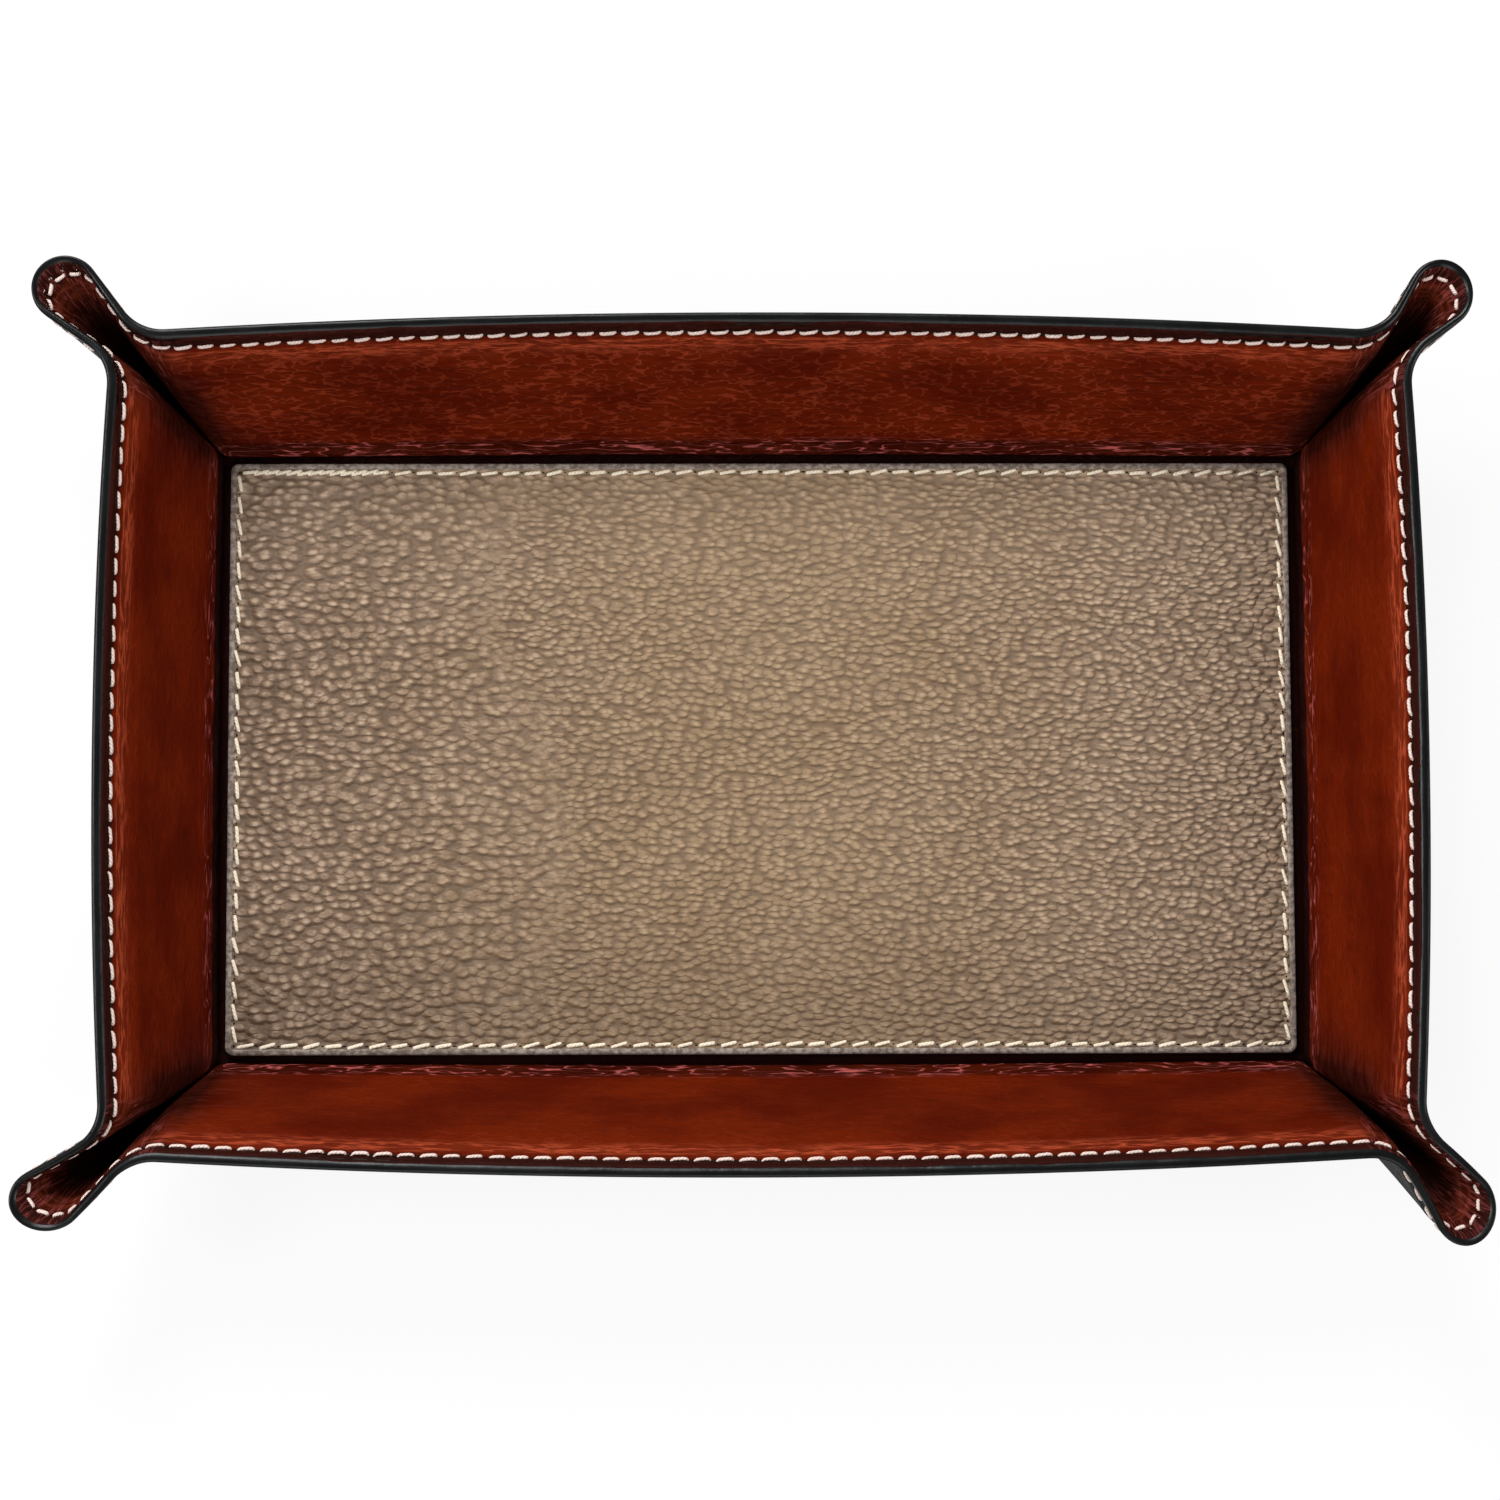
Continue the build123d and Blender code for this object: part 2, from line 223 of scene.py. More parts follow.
def tub_points(ring, height, shift, depth, padding):
    """Points on the tub's skin, rows of heights by the ring's places, in millimetres.

    Each row is the CAD's own outline: a side that leaves its ears at the bow angle on a large
    circle, a hollow arc, a straight neck that touches it, and a round lobe about the diagonal.
    """
    height, shift, depth, padding = (as_rows(values) for values in (height, shift, depth, padding))
    share = height / rim_height
    squared = share * share
    bow = np.radians(between(fold_bow_angle, rim_bow_angle, share))
    under = two_leathers - depth
    neck = between(neck_inside_low, neck_inside_rim, squared) + under
    lobe = between(lobe_inside_low, lobe_inside_rim, squared)
    lobe = lobe + under * between(1, lobe_rim_share, squared)
    hollow = between(neck_hollow_low, neck_hollow_rim, share) + depth * slant
    reach = between(keel_start, ear_reach, share) + ear_extra[ring.ear] * squared
    reach = reach - depth * between(keel_slant, lobe_rim_share, share)

    # The circles of the hollow and the lobe, out along the diagonal and across it
    side_turn = math.radians(135) - bow
    wall_turn = side_turn - math.pi / 2
    across_0 = neck + hollow
    corner = (shift + padding * slant) * diagonal
    out_0 = corner + (hollow + across_0 * np.cos(side_turn)) / np.sin(side_turn)
    nearest = out_0 + np.sqrt(np.maximum((hollow + lobe) ** 2 - across_0**2, 0)) + least_neck
    lobe_out = np.maximum(reach - lobe, nearest)
    apart = np.sqrt((out_0 - lobe_out) ** 2 + across_0**2)
    touch = np.arccos(np.clip((hollow + lobe) / apart, -1, 1))
    neck_turn = np.arctan2(across_0, out_0 - lobe_out) - touch
    slide = padding * slant * diagonal * np.sin(side_turn) / np.cos(side_turn - neck_turn)
    hollow_out = out_0 - slide * np.sin(neck_turn)
    hollow_across = across_0 + slide * np.cos(neck_turn)

    is_long = ring.long_side
    foot_along = np.where(is_long, foot_half_length, foot_half_width)
    foot_away = np.where(is_long, foot_half_width, foot_half_length)

    def placed(out, across):
        """Along the side and away from the middle, for a place about the ear's diagonal."""
        return foot_along + (out - across) / diagonal, foot_away + (out + across) / diagonal

    def on_hollow(turn):
        """A place on the hollow's arc."""
        return hollow_out - hollow * np.cos(turn), hollow_across - hollow * np.sin(turn)

    t = ring.share
    end_along, end_away = placed(*on_hollow(wall_turn))
    radius = end_along / np.sin(bow)
    side_along = end_along * t
    side_away = end_away - radius * np.cos(bow) + np.sqrt(radius**2 - side_along**2)
    hollow_xy = placed(*on_hollow(wall_turn + (neck_turn - wall_turn) * t))
    neck_from = on_hollow(neck_turn)
    neck_to = (lobe_out + lobe * np.cos(neck_turn), lobe * np.sin(neck_turn))
    neck_xy = placed(*(between(start, end, t) for start, end in zip(neck_from, neck_to)))
    lobe_turn = neck_turn * (1 - t)
    lobe_xy = placed(lobe_out + lobe * np.cos(lobe_turn), lobe * np.sin(lobe_turn))
    along = ring.by_piece(side_along, hollow_xy[0], neck_xy[0], lobe_xy[0])
    away = ring.by_piece(side_away, hollow_xy[1], neck_xy[1], lobe_xy[1])
    x = np.where(is_long, along, away) * ring.sign_x
    y = np.where(is_long, away, along) * ring.sign_y
    return sway_ears(ring, np.stack([x, y, np.broadcast_to(height, x.shape)], axis=-1))


def sway_ears(ring, points):
    """Leans each ear sideways, by its own amount at the tip and nothing at the wall, and each
    wall outward, by its own amount at the rim and nothing at the fold."""
    root, sway_power, full_sway_share = 4.0, 1.6, 0.8
    height_share = points[..., 2] / rim_height
    wall_out = points[..., 2] * lean * diagonal
    ear_length = between(keel_start, ear_reach, height_share) - wall_out
    out = ring.from_foot(points)[0]
    share = np.clip((out - wall_out + root) / (ear_length + root), 0, 1) ** sway_power
    share = share * smooth_step(0, full_sway_share, height_share)
    sway = ear_sway[ring.ear] * share / diagonal
    flare = height_share**lean_power
    wall_x = np.where(ring.sign_x > 0, lean_right, -lean_left) * soft_side(points[..., 0])
    wall_y = np.where(ring.sign_y > 0, lean_back, -lean_front) * soft_side(points[..., 1])
    moved = points.copy()
    moved[..., 0] += flare * wall_x - sway * ring.sign_y
    moved[..., 1] += flare * wall_y + sway * ring.sign_x
    return moved


def soft_side(distance):
    """0 at the middle of the tray and 1 at its walls, so that a shift meets its mirror softly."""
    softened = 30.0
    return smooth_step(0, softened, np.abs(distance))


def wall_shift(height, depth):
    """How far out of the foot the wall stands, at a height and a depth under its outer face."""
    return height * lean - depth * slant


def surface_normals(points):
    """The unit normal on the left of the ring's direction and the rows' order."""
    around = np.roll(points, -1, axis=1) - np.roll(points, 1, axis=1)
    normal = np.cross(around, np.gradient(points, axis=0))
    return normal / np.maximum(np.linalg.norm(normal, axis=-1, keepdims=True), 1e-9)


def lengths_round(points):
    """Length run along each row from the ring's start, one more column than places."""
    closed = np.concatenate([points, points[:, :1]], axis=1)
    steps = np.linalg.norm(np.diff(closed, axis=1), axis=-1)
    return np.concatenate([np.zeros((points.shape[0], 1)), np.cumsum(steps, axis=1)], axis=1)


# Meshes

def mesh_object(name, points, faces, corner_map=None, shade=None):
    """A smooth mesh object from millimetre points. corner_map gives the UV of every face corner,
    and shade how much painted shade each point gets in a fold."""
    mesh = bpy.data.meshes.new(name)
    mesh.from_pydata((points.reshape(-1, 3) * MM).tolist(), [], faces)
    mesh.polygons.foreach_set("use_smooth", [True] * len(mesh.polygons))
    if corner_map is not None:
        layer = mesh.uv_layers.new(name="skin")
        layer.data.foreach_set("uv", np.asarray(corner_map, np.float32).ravel())
    if shade is not None:
        attribute = mesh.attributes.new("shade", "FLOAT", "POINT")
        attribute.data.foreach_set("value", np.asarray(shade, np.float32).ravel())
    mesh.update()
    piece = bpy.data.objects.new(name, mesh)
    bpy.context.scene.collection.objects.link(piece)
    return piece


def face_corners(grid):
    """The values of a grid at the four corners of each of its quads, one quad a row."""
    corners = [grid[:-1, :-1], grid[:-1, 1:], grid[1:, 1:], grid[1:, :-1]]
    return np.stack(corners, axis=-1).reshape(-1, 4)


def ring_faces(numbers):
    """Quads between neighbouring rows of a closed ring, from its rows of point numbers."""
    return face_corners(np.concatenate([numbers, numbers[:, :1]], axis=1))


def closed_ring(name, points, skin=None, shade=None, turn=False, wrap=False):
    """A ring of rows made into a mesh. The rows close on each other with wrap, or each end gets
    a flat cap. skin is the leather's map, along and up, both rows by places + 1, and turn faces
    the quads the other way."""
    rows, count = points.shape[:2]
    numbers = np.arange(rows * count).reshape(rows, count)
    ends = [] if wrap else [numbers[0, ::-1], numbers[-1]]
    if wrap:
        numbers = np.concatenate([numbers, numbers[:1]])
    way = -1 if turn else 1
    quads = ring_faces(numbers)[:, ::way]
    ends = [end[::way] for end in ends]
    corner_map = None
    if skin is not None:
        corners = np.stack([face_corners(values) for values in skin], axis=-1)[:, ::way] * MM
        flat = points.reshape(-1, 3)
        caps = [(flat[end, :2] - (0, flat_map_drop)) * MM for end in ends]
        corner_map = np.concatenate([corners.reshape(-1, 2)] + caps)
    faces = quads.tolist() + [end.tolist() for end in ends]
    return mesh_object(name, points, faces, corner_map, shade)


# Materials

class Field:
    """A shader value. Sums and products of fields and numbers add the Math nodes they need."""

    def __init__(self, finish, socket):
        self.finish = finish
        self.socket = socket

    def __add__(self, other):
        return self.finish.math("ADD", self, other)

    def __sub__(self, other):
        return self.finish.math("SUBTRACT", self, other)

    def __rsub__(self, other):
        return self.finish.math("SUBTRACT", other, self)

    def __mul__(self, other):
        return self.finish.math("MULTIPLY", self, other)

    def __abs__(self):
        return self.finish.math("ABSOLUTE", self)

    __radd__ = __add__
    __rmul__ = __mul__


class Node:
    """A shader node with its outputs by name."""

    def __init__(self, finish, node):
        self.finish = finish
        self.node = node

    def out(self, name):
        """One output as a field."""
        return Field(self.finish, self.node.outputs[name])


class Finish:
    """A material that is built node by node round one Principled shader. Places are in
    millimetres, and the scale of a pattern is how many of its lumps one millimetre holds."""

    def __init__(self, name):
        self.material = bpy.data.materials.new(name)
        self.material.use_nodes = True
        self.tree = self.material.node_tree
        self.shader = self.tree.nodes["Principled BSDF"]

    def add(self, kind, settings, inputs):
        """A node of a type, its settings first, then the values or links of its sockets."""
        node = self.tree.nodes.new(kind)
        for name, value in settings.items():
            setattr(node, name, value)
        for name, value in inputs.items():
            self.feed(node.inputs[name], value)
        return Node(self, node)

    def feed(self, socket, value):
        """A link into a socket from a field, or else the socket's own value."""
        if isinstance(value, Field):
            self.tree.links.new(value.socket, socket)
        else:
            socket.default_value = value

    def set(self, **values):
        """Values or links of the Principled shader, its sockets' spaces written as underscores."""
        for name, value in values.items():
            self.feed(self.shader.inputs[name.replace("_", " ")], value)

    def math(self, operation, *values):
        """A Math node on one or two values."""
        return self.add("ShaderNodeMath", {"operation": operation}, dict(enumerate(values))).out("Value")

    def mix(self, share, first, second):
        """One colour turning into another."""
        node = self.add("ShaderNodeMix", {"data_type": "RGBA"}, {0: share, 6: first, 7: second})
        return node.out(2)

    def layers(self, tone, *layers):
        """A colour with others laid over it, one after the other, each by its own share."""
        for share, colour in layers:
            tone = self.mix(share, tone, colour)
        return tone

    def step(self, value, low, high):
        """A soft step of a value: 0 at low, 1 at high, and held past them."""
        inputs = {"Value": value, "From Min": low, "From Max": high}
        return self.add("ShaderNodeMapRange", {"interpolation_type": "SMOOTHSTEP"}, inputs).out("Result")

    def source(self, name):
        """Where a point is: its UV or Object coordinates, as Blender gives them."""
        return self.add("ShaderNodeTexCoord", {}, {}).out(name)

    def place(self, x=1.0, y=1.0, turn=0.0, source="Object"):
        """Where a point is, in millimetres, with X and Y drawn out by a share below 1, and turned."""
        scale = (x / MM, y / MM, 1 / MM)
        inputs = {"Vector": self.source(source), "Scale": scale, "Rotation": (0.0, 0.0, turn)}
        return self.add("ShaderNodeMapping", {}, inputs).out("Vector")

    def skin(self, x=1.0, y=1.0):
        """Where a point is on the leather's own map, in millimetres."""
        return self.place(x, y, source="UV")

    def split(self, vector):
        """The X, Y and Z of a vector."""
        node = self.add("ShaderNodeSeparateXYZ", {}, {"Vector": vector})
        return node.out("X"), node.out("Y"), node.out("Z")

    def noise(self, place, scale, detail=2.0, roughness=0.5, distortion=0.0, output="Fac"):
        """Soft noise about 0.5."""
        inputs = {"Vector": place, "Scale": scale, "Detail": detail}
        inputs.update({"Roughness": roughness, "Distortion": distortion})
        return self.add("ShaderNodeTexNoise", {}, inputs).out(output)

    def cells(self, place, scale):
        """How far a point lies from the middle of its cell, on a flat map of packed cells."""
        settings = {"feature": "F1", "voronoi_dimensions": "2D"}
        inputs = {"Vector": place, "Scale": scale, "Randomness": 0.85}
        return self.add("ShaderNodeTexVoronoi", settings, inputs).out("Distance")

    def lines(self, value, width):
        """Thin wavy lines where noise crosses its middle: 1 on the line and 0 past its width."""
        return self.step(abs(value - 0.5), width, 0.0)

    def warp(self, place, scale, amount):
        """A place shifted by noise, so that cells lose their straight borders."""
        shift = self.noise(place, scale, output="Color")
        centred = self.add("ShaderNodeVectorMath", {"operation": "SUBTRACT"}, {0: shift, 1: (0.5, 0.5, 0.5)})
        inputs = {0: centred.out("Vector"), 1: (amount, amount, amount), 2: place}
        return self.add("ShaderNodeVectorMath", {"operation": "MULTIPLY_ADD"}, inputs).out("Vector")

    def relief(self, height, depth):
        """The normal of a surface that stands out by a height of 0 to 1, times a depth."""
        inputs = {"Height": height, "Distance": depth * MM, "Strength": 1.0}
        return self.add("ShaderNodeBump", {}, inputs).out("Normal")


def linear(red, green, blue):
    """An sRGB colour of 0 to 255 as the linear colour that a shader takes."""
    def one(value):
        """One channel."""
        value /= 255
        return value / 12.92 if value <= 0.04045 else ((value + 0.055) / 1.055) ** 2.4
    return (one(red), one(green), one(blue), 1.0)


# Sizes of the smooth calf's grain, in millimetres
wrinkle_size, wave_size, wave_pebble_size, crease_size, lump_size, pleat_size = 1.4, 1.9, 2.1, 1.15, 1.7, 1.3

# Zones on the smooth calf: where each starts and is whole, up from the stitch line
lip_zone = (-0.9, 0.1)
crest_zone, crest_end = (-5.6, -3.2), (-1.9, -1.1)
# floor_end is where the painted shadow of the fold fades out on the floor under the pad
floor_end = (fold_line - 6.5, fold_line - 4.5)

# The fold's lower border below the fold line, and the height of its creases, on a short wall,
# and how much more of each a long wall has
fold_drop, long_fold_drop = 1.5, 2.0
crease_height, long_crease_height = 1.4, 1.6
# fold_black is where the painted shadow low in the fold grows to its darkest
crease_zone, crease_end, fold_black = (-0.3, 0.2), (0.0, 2.6), (0.1, -0.4)


def smooth_calf(name, body, light, shade_tone, lip, lit_fold, crest_highlight, grain, shine):
    """Smooth dyed calf on its own map: darker above the stitches, a lumpy crest under them with a painted
    highlight, wavy wrinkles with painted highlights on the back wall and fainter ones elsewhere, and a
    fold of painted shade round the floor with painted highlights on its creases, wider on the long
    sides. The ears get painted shade and painted highlights on their pleats, and the floor gap a
    painted shadow. grain is the relief's depth."""
    finish = Finish(name)
    step, noise = finish.step, finish.noise
    x, y, z = finish.split(finish.place())
    up = finish.split(finish.skin())[1]
    # The painted shade of the folds, one value for each point of the mesh
    shade = finish.add("ShaderNodeAttribute", {"attribute_name": "shade"}, {}).out("Fac")

    # The tray's long walls, its back wall, its ears, and its floor from the pad's edge outward
    long_side = step(abs(y) - abs(x) + (foot_half_length - foot_half_width), -0.8, 0.8)
    back_side = step(y, 0.0, 20.0) * long_side
    in_ear = step(abs(x) - foot_half_length, 5.0, 9.0) * step(abs(y) - foot_half_width, 5.0, 9.0)
    past_pad = finish.math("MAXIMUM", abs(x) - pad_half_length, abs(y) - pad_half_width)
    # The floor gap beside the pad, which gets a painted shadow
    gap = step(past_pad, -1.6, -0.2) * step(z - floor_top, 0.5, 0.2)

    # The grain's own patterns, drawn out along the wall
    clouds = noise(finish.skin(0.5), 0.07, 3.0, 0.55)
    worn = step(clouds, 0.36, 0.6)
    wrinkles = noise(finish.skin(0.5), 1 / wrinkle_size, 3.0, 0.6, 0.2)
    waved = finish.warp(finish.skin(0.42), 0.23, 0.9)
    waves = finish.lines(noise(waved, 1 / wave_size, 1.5), 0.055)
    pebbles = step(finish.cells(waved, 1 / wave_pebble_size), 0.8, 0.15)
    drawn = finish.warp(finish.skin(0.13), 0.26, 1.2)
    creases = finish.lines(noise(drawn, 1 / crease_size, 1.0), 0.042)
    lumps = finish.lines(noise(drawn, 1 / lump_size, 3.0, 0.6), 0.085)
    wave_share = back_side * (0.35 + 0.4 * worn) + (1 - back_side) * 0.1 * worn
    pleats_lit = finish.lines(noise(finish.skin(1.0, 0.16), 1 / pleat_size), 0.07)
    pleats_lit = pleats_lit * in_ear * (1 - shade * shade)

    # The zones from the lip down to the floor
    above = step(up, *lip_zone)
    crest = step(up, *crest_zone) - step(up, *crest_end)
    from_low = up - (fold_line - fold_drop) + long_fold_drop * long_side + 0.5 * (wrinkles - 0.5)
    past_creases = from_low - (crease_height + long_crease_height * long_side)
    zone = step(from_low, *crease_zone) - step(past_creases, *crease_end)
    # Where the painted shadow lies: low in the fold, and in the gap between the pad and the wall
    black = finish.math("MAXIMUM", step(from_low, *fold_black) * step(up, *floor_end), gap)

    tone = finish.layers(
        finish.mix(step(clouds, 0.36, 0.66), body, light),
        # Painted shade in the wrinkles' hollows
        (0.16 * step(wrinkles, 0.5, 0.3), shade_tone),
        # Painted highlights on the back wall's waves
        (0.44 * waves * wave_share, crest_highlight),
        (0.9 * above, lip),
        # A painted highlight on the lumps of the crest under the stitches
        (crest * (0.12 + 0.66 * lumps), crest_highlight),
        # Painted shade over the fold round the floor
        (zone * (0.2 + 0.4 * long_side), shade_tone),
        # Painted highlights on the fold's creases
        (zone * creases * (0.6 + 0.2 * long_side), lit_fold),
        # Painted shade down the ears' keels and the lower halves of their necks, fading onto the walls beside
        # them
        (shade, shade_tone),
        # Painted highlights on lumps where the fold's painted shade is half strong, outside the ears
        (0.2 * shade * (1 - shade) * lumps * (1 - in_ear), lit_fold),
        # Painted shade inside the ears, below the lip
        (0.5 * in_ear * (1 - above), shade_tone),
        # Painted highlights on the ears' pleats
        (pleats_lit * (0.3 - 0.1 * above), lit_fold),
        # A painted near-black shadow low in the fold and in the floor gap by the pad
        (0.94 * black, linear(10, 4, 4)),
    )
    height = wrinkles * 0.35 + pebbles * (0.15 + 0.35 * back_side) + waves * (0.15 + 0.45 * wave_share)
    height = height + lumps * crest * 0.5 + creases * zone * 0.6
    calm = (1 - shade) * (1 - shade)
    finish.set(
        Base_Color=tone,
        Roughness=0.4 + 0.2 * wrinkles + 0.3 * shade,
        Normal=finish.relief(height * calm * calm + pleats_lit * 0.6, grain),
        Specular_IOR_Level=shine,
    )
    return finish


# Sizes of the pad's pebbles, in millimetres: at the left, in the rest, and small ones on them
large_pebble, lying_pebble, small_pebble = 1.65, 1.3, 1.1


def pebbled_calf(name, dark, body, rosy, light):
    """Pebbled calf: packed pillows drawn out along X, larger at the left, finer and lying
    downhill towards the right, with its colour rosier away from the middle, painted shade in
    the creases and towards the front, and painted highlights on the crowns and towards the
    right and back."""
    finish = Finish(name)
    step, noise = finish.step, finish.noise
    place = finish.place()
    x, y, _ = finish.split(place)
    drifting = x + 50.0 * (noise(place, 0.016) - 0.5)
    left, large_share = step(drifting, -5.0, -95.0), step(drifting, -40.0, -52.0)
    patches = noise(place, 0.045, 3.0, 0.6)
    outer = step(abs(x) + 40.0 * (patches - 0.5), 10.0, 115.0)

    def pillows(x_share, turn, size):
        """How far a point lies from the middle of its pebble, in a slowly winding pattern."""
        winding = finish.warp(finish.place(x_share, turn=turn), 0.045, 3.0)
        return finish.cells(finish.warp(winding, 0.34, 0.9), 1 / size)

    away = pillows(0.6, -0.06, large_pebble) * large_share
    away = away + pillows(0.56, 0.13, lying_pebble) * (1 - large_share)
    dome, crown = step(away, 0.82, 0.22), step(away, 0.42, 0.0)
    small = noise(finish.place(0.6, turn=0.1), 1 / small_pebble)
    fine = noise(place, 2.6)
    height = (dome + small * 0.6 + fine * 0.05) * (0.75 + 0.5 * outer)
    depth = 0.62 + 0.38 * outer
    # mound is high on the pebbles and low in the creases between them, where the colour below gets painted
    # shade
    mound = (dome * 0.75 + step(small, 0.3, 0.7) * 0.25) * depth + 0.7 * (1 - depth)
    # A painted highlight on the pebbles' crowns, mixed in below with lighter random patches
    shine = crown * step(small, 0.35, 0.65) * (0.28 + 0.32 * outer)
    tone = finish.layers(
        finish.mix(mound, dark, finish.mix(outer, body, rosy)),
        (0.08 * step(patches, 0.3, 0.8) + shine, light),
        # Painted shade towards the front, and a little darker at the left
        (0.29 * step(y, -20.0, -55.0) + 0.12 * left, dark),
        # A painted sheen towards the right and the back
        (0.09 * step(x, 30.0, 90.0) + 0.07 * step(y, 20.0, 50.0), light),
    )
    finish.set(
        Base_Color=tone,
        Roughness=0.5 - 0.08 * left + 0.15 * (1 - mound),
        Normal=finish.relief(height, 0.62),
        Specular_IOR_Level=0.45,
    )
    return finish


def edge_paint_finish(name, tone, light_tone, shine=0.2, mottle=0.0):
    """Edge paint: smooth and satin, with faint ripples and a dull, worn bloom. With mottle the
    grain of the leather under a thin coat shows through."""
    finish = Finish(name)
    place = finish.place()
    ripples = finish.noise(place, 0.26, 3.0, 0.55)
    bloom = finish.noise(place, 0.06, 4.0, 0.6)
    under = finish.noise(place, 0.85, 3.0, 0.6)
    shown = bloom * (1 - mottle) + under * mottle
    finish.set(
        Base_Color=finish.mix(finish.step(shown, 0.4, 0.75 - 0.15 * mottle), tone, light_tone),
        Roughness=0.22 + 0.2 * bloom,
        Normal=finish.relief(ripples + 2.0 * mottle * under, 0.12),
        Specular_IOR_Level=shine,
    )
    return finish


def thread_finish(name, tone, ply_shade, shine):
    """Waxed thread: three plies that wind round the stitch, with painted shade between the plies."""
    finish = Finish(name)
    inputs = {"Vector": finish.source("UV"), "Scale": 1.0, "Distortion": 0.4, "Detail": 1.0}
    settings = {"wave_type": "BANDS", "bands_direction": "DIAGONAL"}
    plies = finish.add("ShaderNodeTexWave", settings, inputs).out("Fac")
    fuzz = finish.noise(finish.place(), 1.8)
    finish.set(
        Base_Color=finish.mix(plies * 0.7 + fuzz * 0.3, ply_shade, tone),
        Roughness=0.5 + 0.2 * fuzz,
        Normal=finish.relief(plies + 0.4 * fuzz, 0.08),
        Specular_IOR_Level=shine,
    )
    return finish


def fibre_finish(name, dark, light, fibre, clouds, roughness, depth, sheen=0.0):
    """Fibre board or suede: fine fibres in clouds, dull all over. fibre and clouds are the scale,
    detail and roughness of the two noises, and roughness is the surface's own, between the
    fibres and on them."""
    finish = Finish(name)
    place = finish.place()
    fibre, clouds = finish.noise(place, *fibre), finish.noise(place, *clouds)
    finish.set(
        Base_Color=finish.mix(clouds * 0.6 + fibre * 0.4, dark, light),
        Roughness=between(*roughness, fibre),
        Normal=finish.relief(fibre, depth),
        Sheen_Weight=sheen,
    )
    return finish


lining_finish = smooth_calf(
    "rust_lining", grain=0.42, shine=0.03,
    body=linear(83, 16, 1), light=linear(104, 27, 2), shade_tone=linear(20, 5, 1),
    lip=linear(38, 15, 12), lit_fold=linear(196, 96, 92), crest_highlight=linear(182, 76, 46),
)
shell_finish = smooth_calf(
    "black_shell", grain=0.22, shine=0.07,
    body=linear(20, 19, 19), light=linear(30, 28, 28), shade_tone=linear(10, 9, 9),
    lip=linear(18, 17, 17), lit_fold=linear(30, 28, 28), crest_highlight=linear(34, 32, 32),
)
pad_finish = pebbled_calf(
    "taupe_pad", dark=linear(88, 67, 48), body=linear(152, 124, 91),
    rosy=linear(137, 111, 90), light=linear(218, 191, 162),
)
hole_shade_finish = edge_paint_finish("needle_hole_shade", linear(9, 5, 4), linear(14, 8, 6))
rim_paint_finish = edge_paint_finish("black_edge_paint", linear(4, 5, 6), linear(13, 14, 15), 0.26)
pad_paint_finish = edge_paint_finish("taupe_edge_paint", linear(104, 92, 83), linear(160, 148, 138), 0.2, 0.8)
rim_thread_finish = thread_finish("rim_thread", linear(255, 238, 230), linear(226, 196, 182), 0.3)
pad_thread_finish = thread_finish("pad_thread", linear(255, 247, 228), linear(232, 214, 184), 0.3)
# The tack thread is coloured near-black, as dark as the painted shade of the ears' valleys that it sits in
tack_thread_shade_finish = thread_finish("tack_thread", linear(12, 4, 3), linear(6, 2, 2), 0.02)
board_finish = fibre_finish(
    "fibre_board", linear(120, 104, 84), linear(172, 154, 128),
    fibre=(0.9, 4.0, 0.7), clouds=(0.12, 3.0, 0.5), roughness=(0.85, 0.95), depth=0.1,
)
suede_finish = fibre_finish(
    "pad_suede", linear(88, 74, 62), linear(134, 115, 97),
    fibre=(1.4, 3.0, 0.7), clouds=(0.045, 3.0, 0.6), roughness=(0.9, 0.98), depth=0.15, sheen=0.3,
)


def finish_piece(piece, finish, body, slot, *nodes):
    """Gives a new piece its finish and its body, and hides the CAD nodes that it stands for. slot is not
    used.
    """
    piece.data.materials.append(finish.material)
    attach(piece, body)
    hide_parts(*nodes)


# Leathers of the tub

def tub_rows(base, depth, radius, padded, wall_steps, skive=0.0):
    """Height, shift, depth and padding of every row of a leather face: the round fold between
    floor and wall, then the wall up to the rim, where the skived leather gets thinner."""
    room = board_room if padded else 0.0
    fold_steps, board_margin = 8, 0.3
    turn = np.linspace(0, wall_angle, fold_steps)
    fold_heights = base + radius * (1 - np.cos(turn))
    fold_start = wall_shift(base, depth + room) - radius * math.tan(wall_angle / 2)
    heights = np.linspace(fold_heights[-1], leather_top, wall_steps)[1:]
    settled = smooth_step(board_high - board_margin, board_high + lining_ramp, heights)
    padding = room * (1 - settled)
    skive_low, skive_high = board_high + skive_above_board, rim_stitch_height - skive_below_stitch
    depths = depth - skive * smooth_step(skive_low, skive_high, heights)
    shifts = np.concatenate([fold_start + radius * np.sin(turn), wall_shift(heights, depths + padding)])
    depths = np.concatenate([np.full(fold_steps, depth), depths])
    padding = np.concatenate([np.full(fold_steps, room), padding])
    return np.concatenate([fold_heights, heights]), shifts, depths, padding


def row_lengths(ring, points):
    """Length up the leather to each row, in the middle of a long side."""
    middle = points[:, np.argmax(ring.long_side & (ring.piece == 0) & (ring.share == 0))]
    steps = np.linalg.norm(np.diff(middle, axis=0), axis=-1)
    return np.concatenate([[0], np.cumsum(steps)])


def stitch_heights(ring):
    """The height of the stitch line: it keeps its distance from the edge along the leather, so
    that it climbs where the ears' tips lean far out."""
    on_lobe = ring.by_piece(0.0, 0.0, 0.0, 1.0)
    reach = 6
    kernel = np.hanning(2 * reach + 1)
    wrapped = np.concatenate([on_lobe[-reach:], on_lobe, on_lobe[:reach]])
    return rim_stitch_height + lobe_stitch_lift * np.convolve(wrapped, kernel / kernel.sum(), "valid")


